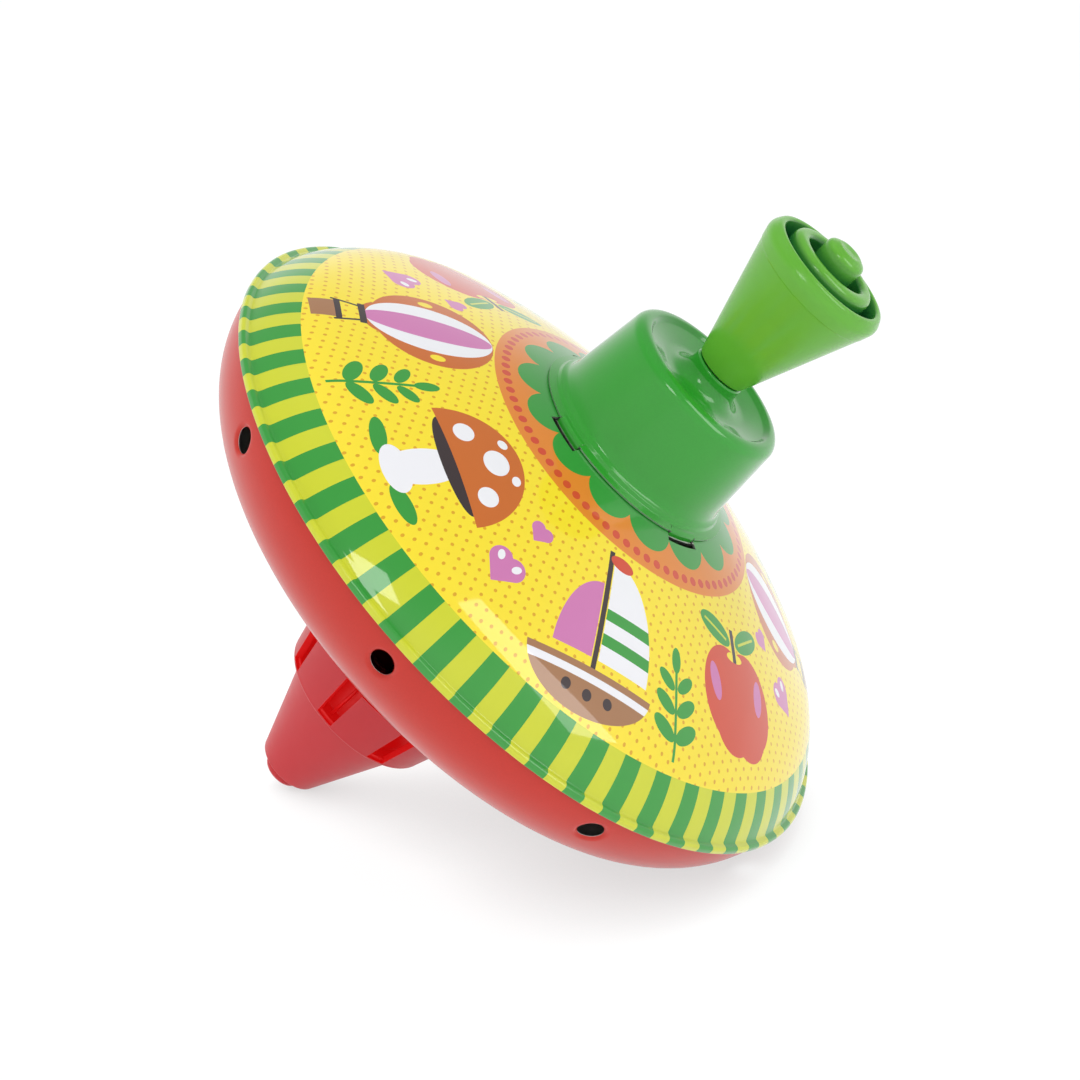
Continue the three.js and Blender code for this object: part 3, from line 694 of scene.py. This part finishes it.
# %% [markdown]
# ## Lower shell
# The lower shell is plain red tin with nine sound holes just below the rim, whose edges are pressed inwards.
# A hole could be cut with a boolean, but that leaves long thin faces that shade badly on gloss lacquer.
# Instead the grid has a square gap there, and the points round it are pushed sideways: a square ring of
# points becomes a round one, and the push fades out with the distance from the hole.

# %% Profile of the lower shell
lower_shoulder_radius = 25.4
lower_slope_angle = 28.7
lower_seat_radius = 25
lower_seat_round = 1.5
foot_hole_radius = 17.5
lower_flange = 0.6
sound_hole_count = 9
sound_hole_radius = 3.1
sound_hole_drop = 7.1
sound_hole_azimuth = 88.4
hole_ring_gaps = np.array([0.25, 0.55, 0.9, 1.4, 2.1, 3.1])
hole_steps = 8
press_depth = 0.75
press_width = 1.1

lower_centre_radius = lower_radius - lower_shoulder_radius
cone_turn = math.radians(90 - lower_slope_angle)
lower_cone_radius = lower_centre_radius + lower_shoulder_radius * math.cos(cone_turn)
lower_cone_height = -lower_shoulder_radius * math.sin(cone_turn)
lower_slope = math.tan(math.radians(lower_slope_angle))
lower_seat_height = lower_cone_height - (lower_cone_radius - lower_seat_radius) * lower_slope
hole_angle = math.asin(sound_hole_drop / lower_shoulder_radius)
outward = np.sort(np.concatenate([
    np.linspace(-sound_hole_radius, sound_hole_radius, hole_steps + 1),
    sound_hole_radius + hole_ring_gaps,
    -sound_hole_radius - hole_ring_gaps,
]))
even_angles = np.arange(0, 90 - lower_slope_angle, 4.0)
arc_angles = with_marks(even_angles, np.degrees(hole_angle + outward / lower_shoulder_radius), 1.5)
arc_part = np.column_stack([
    lower_centre_radius + lower_shoulder_radius * np.cos(np.radians(arc_angles)),
    -lower_shoulder_radius * np.sin(np.radians(arc_angles)),
])
seat_part = fillet_line([
    (foot_hole_radius, lower_seat_height, 0),
    (lower_seat_radius, lower_seat_height, lower_seat_round),
    (lower_cone_radius, lower_cone_height, 0),
])
flange_height = hem_height - 2 * tin - clearance
flange_part = [(lower_radius, flange_height / 2), (lower_radius + lower_flange, flange_height)]
lower_line = np.vstack([spread(seat_part, sheet_step), arc_part[::-1], flange_part])
print("lower shell profile:", len(lower_line), "points, seat", round(lower_seat_height, 1), "mm")

# %% Round the sound holes and make the lower shell
sector = 360 / sound_hole_count
hole_line_radius = lower_centre_radius + lower_shoulder_radius * math.cos(hole_angle)
across = np.degrees(outward / hole_line_radius)
sector_azimuths = with_marks(np.linspace(-sector / 2, sector / 2, 26)[:-1], across, 0.6)
hole_azimuths = sound_hole_azimuth + sector * np.arange(sound_hole_count)
lower_azimuths = (hole_azimuths[:, None] + sector_azimuths[None, :]).ravel()
far_away = 1e3


def round_holes(line, azimuths):
    """Pushes the points round each hole from a square ring onto a round one and presses the edge inwards.
    With c the larger of the two distances from the hole and e the straight one, a point moves to c / e of
    its distance, blended back to its own place over the width of the outer rings."""
    from_hole = (azimuths - sound_hole_azimuth + sector / 2) % sector - sector / 2
    sideways = np.radians(from_hole)[None, :] * hole_line_radius
    polar = np.arctan2(-line[:, 1], line[:, 0] - lower_centre_radius)
    below_rim = (line[:, 1] <= 0) & (line[:, 1] >= lower_cone_height - 1e-6)
    on_arc = (below_rim & (line[:, 0] >= lower_cone_radius - 1e-6))[:, None]
    upward = np.where(on_arc, (polar[:, None] - hole_angle) * lower_shoulder_radius, far_away)
    square = np.maximum(np.abs(sideways), np.abs(upward))
    straight = np.maximum(np.hypot(sideways, upward), 1e-9)
    fade = np.clip(1 - (square - sound_hole_radius) / hole_ring_gaps[-1], 0, 1)
    factor = 1 + fade * (square / straight - 1)
    new_side = sideways * factor
    new_up = upward * factor
    distance = np.hypot(new_side, new_up) - sound_hole_radius
    reach = lower_shoulder_radius - press_depth * np.clip(1 - distance / press_width, 0, 1) ** 2
    angle = np.where(on_arc, hole_angle + new_up / lower_shoulder_radius, 0)
    radius = np.where(on_arc, lower_centre_radius + reach * np.cos(angle), line[:, :1])
    height = np.where(on_arc, -reach * np.sin(angle), line[:, 1:])
    centre = np.radians(azimuths - from_hole)[None, :]
    azimuth = np.where(on_arc, centre + new_side / hole_line_radius, np.radians(azimuths)[None, :])
    return np.stack([radius * np.cos(azimuth), radius * np.sin(azimuth), height], axis=-1), square


lower_grid, square_distance = round_holes(lower_line, lower_azimuths)
inner = square_distance < sound_hole_radius + 1e-4
corner = inner[:-1] & inner[1:]
hole_cells = corner & np.roll(corner, -1, axis=1)
lower_shell = make_piece(
    "lower_shell_red",
    [(lower_grid, ~hole_cells)],
    [red_tin, bare_tin],
    "shell",
    "lower_shell",
)
thicken(lower_shell, tin)

# %% [markdown]
# ## Cap
# The cap is drawn from one disc of green tin: a rolled bead and a flange that follows the crown, a slightly
# tapered wall, a round crest, a dished top and a neck for the rod. One line gives it all. At four places
# the edge of the flange is left out, and a second line starts there, bends down and goes through a slot of
# the shell, which makes the tabs. The cut edge stays bare, so it takes the tin and not the lacquer.

# %% Profile of the cap
cap_flange_radius = 29
cap_foot_radius = 24.9
cap_top_radius = 23.1
cap_bead_radius = 26.6
cap_bead_height = 0.95
cap_bead_foot = 0.4
cap_foot_flare = 0.65
cap_foot_rise = 0.35
cap_wall_inset = 0.1
cap_wall_start = 2.5
cap_height = 26.6
cap_edge_round = 2.9
crest_inner_radius = 19.8
crest_step = 1.2
crest_round = 1.1
crest_drop = 1.1
dish_depth = 2.6
dish_floor_radius = 12.8
dish_round = 6
neck_radius = 7.1
neck_height = 5.8
neck_flare = 4.2
neck_lip = 1.1
cap_crest_height = crown_height(cap_flange_radius) + clearance + cap_height
dish_height = cap_crest_height - dish_depth
neck_top_height = dish_height + neck_height


def on_crown(radius, above, rounding):
    """A corner of the cap near its foot: the crown's height there, the running gap, the tin and the rise."""
    return radius, crown_height(radius) + clearance + tin + above, rounding


cap_line = fillet_line(
    [
        on_crown(cap_flange_radius, 0, 0),
        on_crown(cap_bead_radius + cap_bead_foot, 0.1, 0.5),
        on_crown(cap_bead_radius, cap_bead_height, 0.45),
        on_crown(cap_foot_radius + cap_foot_flare, cap_bead_height + cap_foot_rise, 1.7),
        on_crown(cap_foot_radius + cap_wall_inset, cap_bead_height + cap_wall_start, 12),
        (cap_top_radius, cap_crest_height, cap_edge_round),
        (crest_inner_radius, cap_crest_height, crest_round),
        (crest_inner_radius - crest_step, cap_crest_height - crest_drop, crest_round),
        (dish_floor_radius, dish_height, dish_round),
        (neck_radius, dish_height, neck_flare),
        (neck_radius, neck_top_height, 0.6),
        (neck_radius - neck_lip, neck_top_height, 0),
    ],
    steps=10,
)
print("cap: crest", round(cap_crest_height, 1), "mm, dish", round(dish_height, 1), "mm above the rim")

# %% Cap with its tabs
tab_half_angle = 9.2
tab_root_radius = 27.5
tab_radius = 28.75
tab_bend = 1.2
tab_drop = 3.4
tab_hook = 1.6
tab_hook_round = 0.6
tab_start_drop = 0.05
cap_cut_round = 0.2
cap_step = 1.0
cap_rows = spread(cap_line, cap_step)
tab_root = int(np.argmax(cap_rows[:, 0] < tab_root_radius))
root_height = cap_rows[tab_root, 1]
tab_line = fillet_line([
    (tab_radius - tab_hook, root_height - tab_drop, 0),
    (tab_radius, root_height - tab_drop, tab_hook_round),
    (tab_radius, root_height - tab_start_drop, tab_bend),
    (*cap_rows[tab_root], 0),
])
tab_edges = np.concatenate([tab_azimuths - tab_half_angle, tab_azimuths + tab_half_angle])
cap_azimuths = with_marks(whole_turn(300), tab_edges, 0.5)
in_tab = cells_within(cap_azimuths, tab_azimuths, tab_half_angle)
beyond_root = np.arange(len(cap_rows) - 1) < tab_root
flange_kept = ~(beyond_root[:, None] & in_tab[None, :])
tab_kept = np.broadcast_to(in_tab, (len(tab_line) - 1, len(in_tab)))
drive_cap = make_piece(
    "drive_cap_green",
    [(turned_grid(cap_rows, cap_azimuths), flange_kept), (turned_grid(tab_line, cap_azimuths), tab_kept)],
    [green_tin, bare_tin],
    "shell",
    "drive_cap",
)
thicken(drive_cap, tin, cap_cut_round)

# %% [markdown]
# ## Moulded plastics
# The knob is injection moulded polypropylene and the foot is polyethylene. Moulded plastic takes its gloss
# from the mould, and it lets a little light in, so edges and thin walls glow slightly. A small subsurface
# share does that. A fine noise in the roughness and in the bump is what keeps it from looking like glass.

# %% Build the plastics
groove_reach = 6
red_wave = {"peel_mm": 2.5, "peel_depth_mm": 0.006}


def moulded(name, colour, roughness, spread_mm, inside, peel_mm, peel_depth_mm, groove_shade=None, glow=0.0):
    """Moulded plastic: colour, gloss, how far and how much light spreads inside it, and its surface waves.
    The darker colour for grooves is mixed in by occlusion, a painted shade in narrow grooves, and glow is
    painted light, an emission that stands in for light coming through it."""
    material, tree = new_material(name)
    place = add_node(tree, "TexCoord").outputs["Object"]
    base = ink(colour)
    if groove_shade:
        # Painted shade: occlusion mixes the darker groove colour into the base colour in grooves and hollows.
        groove_occlusion = add_node(tree, "AmbientOcclusion", {"Distance": groove_reach * MM}, samples=8)
        openness = {"Value": groove_occlusion.outputs["AO"], "From Min": 0.3, "From Max": 0.9}
        open_share = add_node(tree, "MapRange", openness)
        mixed = {"Factor": open_share, "A": ink(groove_shade), "B": base}
        base = add_node(tree, "Mix", mixed, data_type="RGBA").outputs["Result"]
    peel = add_node(tree, "TexNoise", {"Vector": place, "Scale": 1 / (peel_mm * MM), "Detail": 3.0})
    gloss = add_node(tree, "MapRange", {"Value": peel, "To Min": roughness * 0.85, "To Max": roughness * 1.2})
    bump = add_node(tree, "Bump", {"Height": peel, "Distance": peel_depth_mm * MM, "Strength": 1.0})
    # The emission is painted light: a glow that stands in for light coming through the plastic.
    plastic = {
        "Base Color": base,
        "Emission Color": ink(colour),
        "Emission Strength": glow,
        "Roughness": gloss,
        "IOR": 1.49,
        "Subsurface Weight": inside,
        "Subsurface Radius": (1.0, 0.6, 0.3),
        "Subsurface Scale": spread_mm * MM,
        "Normal": bump,
    }
    add_node(tree, "OutputMaterial", {"Surface": add_node(tree, "BsdfPrincipled", plastic)})
    return material


# The numbers are the roughness, how far light spreads inside in mm, the share that does, and the size and
# depth of the waves in mm. The knob is glossy, and its grooves are painted a darker bluish green by
# occlusion: painted shade.
green_plastic = moulded("green_polypropylene", "64B134", 0.2, 1.2, 0.1, 3.0, 0.004, groove_shade="1A7538")
# The foot is satin. Its core is given a painted glow, an emission that stands in for light coming through the
# thin skirt, so it looks brighter than the outside.
red_plastic = moulded("red_polyethylene", "C8252E", 0.36, 2.0, 0.25, **red_wave)
glowing_core_plastic = moulded("red_polyethylene_painted_glow", "C80F10", 0.5, 2.0, 0.25, **red_wave, glow=0.36)
# Nylon is milky and half dull. Vulcanised fibre is pressed paper, dull and a little rough.
nylon = moulded("natural_nylon", "E6E1D3", 0.45, 1.5, 0.3, 2.0, 0.01)
fibre = moulded("vulcanised_fibre", "7A3325", 0.8, 0.3, 0.0, 0.3, 0.03)
print("plastics: knob green, foot red, nylon, fibre")

# %% [markdown]
# ## Knob
# The knob is a cone that widens upwards to a rounded rim. From above it is cored out to keep the plastic's
# wall even, which leaves a ring and a centre peg standing. The line starts at the rod's bore, runs up the
# outside, over the rim, and down and up through both grooves to the top of the peg.

# %% Knob
knob_low, knob_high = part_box("knob")
knob_bottom = knob_low.z / MM - rim_height
knob_peg_top = knob_high.z / MM - rim_height
knob_height = 36.6
knob_top = knob_bottom + knob_height
knob_bottom_radius = 7
knob_top_radius = 17.8
knob_edge_round = 3.6
ring_outer = knob_top_radius - 5.5
ring_inner = ring_outer - 3.9
ring_top = knob_top + 1.7
peg_radius = ring_inner - 2.8
peg_rim = knob_top + 5.0
peg_crown_radius = 3.2
gate_radius = 1.3
gate_floor = knob_peg_top - 0.4
outer_floor = knob_top - 7.5
inner_floor = knob_top - 18
bore_radius = 3.4
bore_top = knob_bottom + 15.5
cone_slope = (knob_top_radius - knob_bottom_radius) / (knob_height - knob_edge_round)
crease_height = knob_top - 6.2
crease_step = 0.14
crease_round = 0.3
crease_radius = knob_bottom_radius + cone_slope * (crease_height - knob_bottom)
wall_inner = knob_top_radius - 2.6
wall_taper = 1.5
knob_line = fillet_line(
    [
        (0, bore_top, 0),
        (bore_radius, bore_top, 0.2),
        (bore_radius, knob_bottom, 0.3),
        (knob_bottom_radius, knob_bottom, 0.5),
        (crease_radius, crease_height - crease_step, crease_round),
        (crease_radius + crease_step, crease_height, crease_round),
        (knob_top_radius + 0.35, knob_top - 2.6, 3.0),
        (knob_top_radius - 1.2, knob_top, 1.3),
        (wall_inner, knob_top, 0.7),
        (wall_inner - wall_taper, outer_floor, 0.5),
        (ring_outer, outer_floor, 0.5),
        (ring_outer, ring_top, 2.0),
        (ring_inner, ring_top, 1.4),
        (ring_inner, inner_floor, 0.4),
        (peg_radius, inner_floor, 0.4),
        (peg_radius, peg_rim, 1.6),
        (peg_crown_radius, knob_peg_top, 1.5),
        (gate_radius, gate_floor, 0.6),
        (0, gate_floor, 0),
    ],
    steps=8,
)
knob_grid = turned_grid(spread(knob_line, moulding_step), whole_turn(128))
make_piece("knob_green", [(knob_grid, None)], [green_plastic], "plunger", "knob")

# %% [markdown]
# ## Foot
# The foot has a flared skirt under the lower shell, open in eight windows, and a cone below it. Behind the
# windows stands a core tube with a thin rib at each window. The skirt is a sheet of its own with the windows
# left out of its grid, because its wall is then closed round every window by the thickness. The windows'
# edges, the skirt's back and all that stands behind the windows take a red plastic with a painted glow, an
# emission that stands in for light coming through the thin skirt.

# %% Skirt
skirt_height = 15
skirt_bottom_radius = 22.5
skirt_top_radius = 26.3
skirt_wall = 1.8
skirt_edge_round = 0.9
skirt_bottom = lower_seat_height - skirt_height
window_count = 8
window_azimuth = 83.4
window_width = 6.1
window_sill = 1


def under_shell(radius):
    """The underside of the lower shell's cone at a radius, less the running gap square to the slope."""
    cone = lower_cone_height - (lower_cone_radius - radius) * lower_slope
    return cone - clearance / math.cos(math.radians(lower_slope_angle))


skirt_lean = (skirt_top_radius - skirt_bottom_radius) / skirt_height
skirt_wall_start = 1.8 * skirt_edge_round
sill_height = skirt_bottom + window_sill
edge_centre = (skirt_bottom_radius - skirt_edge_round, skirt_bottom + skirt_edge_round)
wall_foot = (skirt_bottom_radius + skirt_lean * skirt_edge_round, skirt_bottom + skirt_wall_start)
wall_top = (skirt_top_radius, under_shell(skirt_top_radius))
skirt_line = np.vstack([
    [(edge_centre[0], skirt_bottom)],
    arc_line(edge_centre, skirt_edge_round, -80, 0, 7),
    np.linspace(wall_foot, wall_top, 10),
])
foot_azimuths = whole_turn(192)
window_half = np.degrees(window_width / 2 / skirt_top_radius)
window_azimuths = (window_azimuth + 360 / window_count * np.arange(window_count)) % 360
window_edges = np.concatenate([window_azimuths - window_half, window_azimuths + window_half]) % 360
skirt_azimuths = with_marks(foot_azimuths, window_edges, 0.6)
in_window = cells_within(skirt_azimuths, window_azimuths, window_half)
above_sill = (skirt_line[:-1, 1] + skirt_line[1:, 1]) / 2 > sill_height
foot_skirt = make_piece(
    "foot_skirt_red",
    [(turned_grid(skirt_line, skirt_azimuths), ~(above_sill[:, None] & in_window[None, :]))],
    [red_plastic, glowing_core_plastic],
    "shell",
    "foot",
)
# The skirt's back and its window edges take the red plastic with the painted glow.
thicken(foot_skirt, skirt_wall)

# %% Cone, core tube and ribs
cone_height = 28.4
cone_top_radius = 19.3
cone_bottom_radius = 8.6
cone_edge_round = 0.7
cone_bottom = skirt_bottom - cone_height
foot_floor = 4.2
tip_hole_radius = 3.9
core_radius = foot_hole_radius - clearance
core_wall = 1.8
core_above_seat = 3.7
core_inner = core_radius - core_wall
core_top = lower_seat_height + tin + clearance + core_above_seat
seam_lift = 0.02
shelf_top = skirt_bottom + skirt_wall
rib_depth = 2.2
rib_half = 0.35
rib_round = 0.15
rib_root = 0.5
rib_top_gap = 1
core_margin = 0.1
cone_line = fillet_line(
    [
        (core_inner, core_top, 0),
        (core_inner, skirt_bottom, 0),
        (tip_hole_radius, cone_bottom + foot_floor, 0.5),
        (tip_hole_radius, cone_bottom, 0.3),
        (cone_bottom_radius, cone_bottom, cone_edge_round),
        (cone_top_radius, skirt_bottom, 0.3),
        (edge_centre[0], skirt_bottom + seam_lift, 0),
        (edge_centre[0], shelf_top, 0.2),
        (core_radius, shelf_top, 0.4),
        (core_radius, core_top, 0.3),
        (core_inner, core_top, 0),
    ],
    steps=8,
)


def rib_grid(azimuth):
    """A thin flat rib as a closed box of four sides: its outline in plan, at the bottom and at the top."""
    outline = np.array([
        (core_radius - rib_root, -rib_half),
        (core_radius + rib_depth - rib_round, -rib_half),
        (core_radius + rib_depth, 0),
        (core_radius + rib_depth - rib_round, rib_half),
        (core_radius - rib_root, rib_half),
    ])
    angle = math.radians(azimuth)
    plan = outline @ np.array([[math.cos(angle), math.sin(angle)], [-math.sin(angle), math.cos(angle)]])
    middle = plan.mean(axis=0) + 0 * plan
    low = shelf_top - rib_root
    high = lower_seat_height - clearance - rib_top_gap
    rows = [(middle, low), (plan, low), (plan, high), (middle, high)]
    return np.stack([np.column_stack([flat, np.full(len(flat), height)]) for flat, height in rows])


ribs = [(rib_grid(azimuth), None) for azimuth in window_azimuths]
foot_cone = make_piece(
    "foot_cone_red",
    [(turned_grid(spread(cone_line, moulding_step), foot_azimuths), None), *ribs],
    [red_plastic, glowing_core_plastic],
    "shell",
    "foot",
)
faces = foot_cone.data.polygons
middles = np.empty(3 * len(faces))
faces.foreach_get("center", middles)
middles = middles.reshape(-1, 3) / MM - [0, 0, rim_height]
on_core_or_ribs = np.hypot(middles[:, 0], middles[:, 1]) > core_radius - core_margin
beside_windows = (middles[:, 2] > sill_height) & (middles[:, 2] < lower_seat_height)
glow_behind_windows = on_core_or_ribs & beside_windows
# Faces behind the windows take the red plastic with the painted glow.
faces.foreach_set("material_index", glow_behind_windows.astype(np.int32))
print("faces seen through the windows:", int(glow_behind_windows.sum()))

# %% [markdown]
# ## Tip
# The tip is the part that a top wears out, so it is moulded by itself and pushed into the foot. It is a small
# round-edged disc on a stem. Only the disc shows.

# %% Tip
tip_low, tip_high = [corner.z / MM - rim_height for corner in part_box("foot_tip")]
tip_head_top = cone_bottom - clearance
tip_radius = 5.4
tip_round = 1.5
stem_radius = 3.6
tip_step = 0.8
tip_line = fillet_line(
    [
        (0, tip_low, 0),
        (tip_radius, tip_low, tip_round),
        (tip_radius, tip_head_top, 0.1),
        (stem_radius, tip_head_top, 0.1),
        (stem_radius, tip_high, 0.3),
        (0, tip_high, 0),
    ],
    steps=8,
)
tip_grid = turned_grid(spread(tip_line, tip_step), whole_turn(128))
make_piece("foot_tip_red", [(tip_grid, None)], [red_plastic], "shell", "foot_tip")

# %% [markdown]
# ## Rod
# The rod is flat steel, twisted evenly, so that pumping it turns the nut. It shows only when the knob is
# pulled up. Its section is a flat bar with rounded corners, carried up the axis and turned by one full turn
# for every pitch, which keeps it a smooth helix from every side.

# %% Twisted rod
rod_low, rod_high = [corner.z / MM - rim_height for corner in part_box("spiral_rod")]
rod_half_width = 3
rod_half_thickness = 0.8
rod_corner = 0.3
rod_pitch = 60
rod_step = 0.8


def rod_section(count):
    """A rounded bar: each corner is a quarter circle about a centre set in from the corner by its radius."""
    angle = np.linspace(0, 2 * np.pi, count, endpoint=False) + np.pi / count
    centre_x = np.sign(np.cos(angle)) * (rod_half_width - rod_corner)
    centre_y = np.sign(np.sin(angle)) * (rod_half_thickness - rod_corner)
    return centre_x + rod_corner * np.cos(angle), centre_y + rod_corner * np.sin(angle)


def twisted_grid(low, high, section):
    """Each height turns the section by its share of the pitch; both ends are closed to the axis."""
    heights = np.linspace(low, high, math.ceil((high - low) / rod_step))
    heights = np.concatenate([[low], heights, [high]])[:, None]
    size = np.ones_like(heights)
    size[[0, -1]] = 0
    turned = 2 * np.pi * (heights + rim_height) / rod_pitch
    x, y = section[0] * size, section[1] * size
    across = x * np.cos(turned) - y * np.sin(turned)
    along = x * np.sin(turned) + y * np.cos(turned)
    return np.stack([across, along, heights + 0 * across], axis=-1)


rod_grid = twisted_grid(rod_low, rod_high, rod_section(24))
make_piece("spiral_rod_steel", [(rod_grid, None)], [drawn_steel], "plunger", "spiral_rod")

# %% [markdown]
# ## Pieces inside
# The drive inside the cap, the washers and the rings are never seen on a closed top, and their packed
# shapes are right, so they keep their own meshes and only get their real finishes.

# %% Finishes of the inner pieces
inner_finish = {
    "backing_ring": bare_tin,
    "neck_bush": nylon,
    "thrust_washer": drawn_steel,
    "drive_nut": nylon,
    "clutch_carrier": nylon,
    "end_collar": drawn_steel,
    "end_washer": fibre,
    "foot_lock_ring": drawn_steel,
}
for name, material in inner_finish.items():
    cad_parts[name].data.materials.clear()
    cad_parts[name].data.materials.append(material)
print("finished inside:", ", ".join(inner_finish))

# %% [markdown]
# ## Floor and surroundings
# The leaning top touches the floor at two places: the edge of its tip and its lower shell. In the upright
# frame the floor is therefore a plane that leans by the same angle. To the camera it is white, and it grows
# greyer where the top covers it: a painted shadow, where occlusion dims the floor's glow, like the soft
# shadow of a photograph on white paper. Its back is clear, so that a view from below isn't blocked.

# %% Where the floor lies
def reach_below(lean, centre_radius, centre_height, round_radius):
    """How far the round of a turned piece reaches towards a leaning floor, from the origin: the centre of
    its section times the floor's normal, which leans away from it, less the section's radius."""
    return centre_height * np.cos(lean) - centre_radius * np.sin(lean) - round_radius


shell_round = (lower_centre_radius, rim_height, lower_shoulder_radius)
tip_edge_round = (tip_radius - tip_round, tip_round, tip_round)
# The lean is the one at which both reach equally far, found in steps of a thousandth of a degree.
leans = np.radians(np.linspace(40, 50, 10001))
apart = np.abs(reach_below(leans, *shell_round) - reach_below(leans, *tip_edge_round))
lean = float(leans[apart.argmin()])
floor_gap = 0.02
floor_offset = float(reach_below(lean, *shell_round)) - floor_gap
floor_size = 3.0
floor_normal = Vector((math.sin(lean), 0, math.cos(lean)))
floor_side = Vector((0, 1, 0))
floor_front = floor_side.cross(floor_normal)
print(f"floor leans {math.degrees(lean):.2f} degrees and lies {floor_offset:.2f} mm from the tip")

# %% Floor
shadow_reach = 36
floor_material, tree = new_material("studio_floor")
light_path = add_node(tree, "LightPath").outputs
seen = light_path["Is Camera Ray"]
for ray in ("Is Glossy Ray", "Is Transmission Ray"):
    seen = add_node(tree, "Math", {0: seen, 1: light_path[ray]}, operation="MAXIMUM")
paper = add_node(tree, "BsdfDiffuse", {"Color": (0.85, 0.85, 0.85, 1)})
lamp_bounce = add_node(tree, "Emission", {"Color": white, "Strength": 0.2})
lit_paper = add_node(tree, "AddShader", {0: paper, 1: lamp_bounce})
dim_paper = add_node(tree, "BsdfDiffuse", {"Color": (0.12, 0.14, 0.14, 1)})
# Painted shadow: occlusion dims the floor's glow where the top comes close.
covered = add_node(tree, "AmbientOcclusion", {"Distance": shadow_reach * MM}, samples=16)
darkest_paper = 0.64
open_paper = 0.93
levels = {"From Min": 0.05, "From Max": 0.65, "To Min": darkest_paper, "To Max": open_paper}
shade = add_node(tree, "MapRange", {"Value": covered.outputs["AO"], **levels})
glow = add_node(tree, "Emission", {"Color": white, "Strength": shade})
white_floor = add_node(tree, "AddShader", {0: dim_paper, 1: glow})
front = add_node(tree, "MixShader", {0: seen, 1: lit_paper, 2: white_floor})
back = add_node(tree, "BsdfTransparent")
from_behind = add_node(tree, "NewGeometry").outputs["Backfacing"]
both = add_node(tree, "MixShader", {0: from_behind, 1: front, 2: back})
add_node(tree, "OutputMaterial", {"Surface": both})
floor_points = [
    tuple(floor_normal * floor_offset * MM + floor_size * (a * floor_front + b * floor_side))
    for a, b in [(-1, -1), (1, -1), (1, 1), (-1, 1)]
]
floor_mesh = bpy.data.meshes.new("floor")
floor_mesh.from_pydata(floor_points, [], [(0, 1, 2, 3)])
floor_mesh.materials.append(floor_material)
floor = bpy.data.objects.new("floor", floor_mesh)
scene.collection.objects.link(floor)
print("floor normal", [round(value, 3) for value in floor_mesh.polygons[0].normal])

# %% [markdown]
# ## Light
# A product photograph of gloss tin is lit by large soft boxes in a pale room. The bright band on the shoulder
# is a tall box on the right that shows only in reflections, and the small patch on the stripes is a box
# above and behind the camera. The fills light the colours but are kept out of the reflections. The room
# itself is pale near the floor and darker overhead, which is why the crown shows its full colour.

# %% Soft boxes
view_level = (-camera_back - (-camera_back).dot(floor_normal) * floor_normal).normalized()
view_right = view_level.cross(floor_normal)


def towards(azimuth, elevation):
    """A direction over the floor: azimuth to the right of the line of sight, elevation above the floor."""
    a, e = math.radians(azimuth), math.radians(elevation)
    level = math.cos(a) * view_level + math.sin(a) * view_right
    return math.cos(e) * level + math.sin(e) * floor_normal


def soft_box(name, azimuth, elevation, distance, width, height, radiance):
    """An area light that faces the top. Its power is radiance times area times pi, so size and glow part."""
    light = bpy.data.lights.new(name, "AREA")
    light.shape = "RECTANGLE"
    light.size = width
    light.size_y = height
    light.energy = radiance * width * height * math.pi
    box = bpy.data.objects.new(name, light)
    back_axis = towards(azimuth, elevation)
    right_axis = floor_normal.cross(back_axis).normalized()
    turn = facing(right_axis, back_axis.cross(right_axis), back_axis)
    box.matrix_world = Matrix.Translation(rim_centre * MM + back_axis * distance) @ turn
    scene.collection.objects.link(box)
    return box


# Azimuth and elevation in degrees, distance, width and height in metres, and radiance.
boxes = {
    "right_strip": (116, 25, 1.2, 0.42, 0.85, 3.5),
    "right_fill": (116, 25, 1.2, 0.5, 0.85, 1.4),
    "camera": (185, 40, 1.5, 0.42, 0.3, 6.0),
    "left_fill": (-75, 35, 1.6, 0.8, 0.9, 1.9),
    "top_fill": (0, 85, 1.5, 1.0, 1.0, 2.1),
}
for name, measures in boxes.items():
    box = soft_box("soft_box_" + name, *measures)
    box.visible_glossy = not name.endswith("fill")
    box.visible_diffuse = not name.endswith("strip")
print("soft boxes:", ", ".join(boxes))

# %% Surroundings
horizon_light = 0.95
overhead_light = 0.45
world = bpy.data.worlds.new("studio")
scene.world = world
world.use_nodes = True
tree = world.node_tree
tree.nodes.clear()
direction = add_node(tree, "TexCoord").outputs["Generated"]
height = add_node(tree, "VectorMath", {0: direction, 1: tuple(floor_normal)}, operation="DOT_PRODUCT")
levels = {"From Min": 0.3, "From Max": 0.75, "To Min": horizon_light, "To Max": overhead_light}
room = add_node(
    tree, "MapRange", {"Value": height.outputs["Value"], **levels}, interpolation_type="SMOOTHSTEP"
)
camera_ray = add_node(tree, "LightPath").outputs["Is Camera Ray"]
seen_light = add_node(tree, "Mix", {"Factor": camera_ray, "A": room, "B": 1.0}).outputs["Result"]
background = add_node(tree, "Background", {"Color": white, "Strength": seen_light})
add_node(tree, "OutputWorld", {"Surface": background})
scene.view_settings.view_transform = "Standard"
print("room: pale at the horizon, darker overhead")
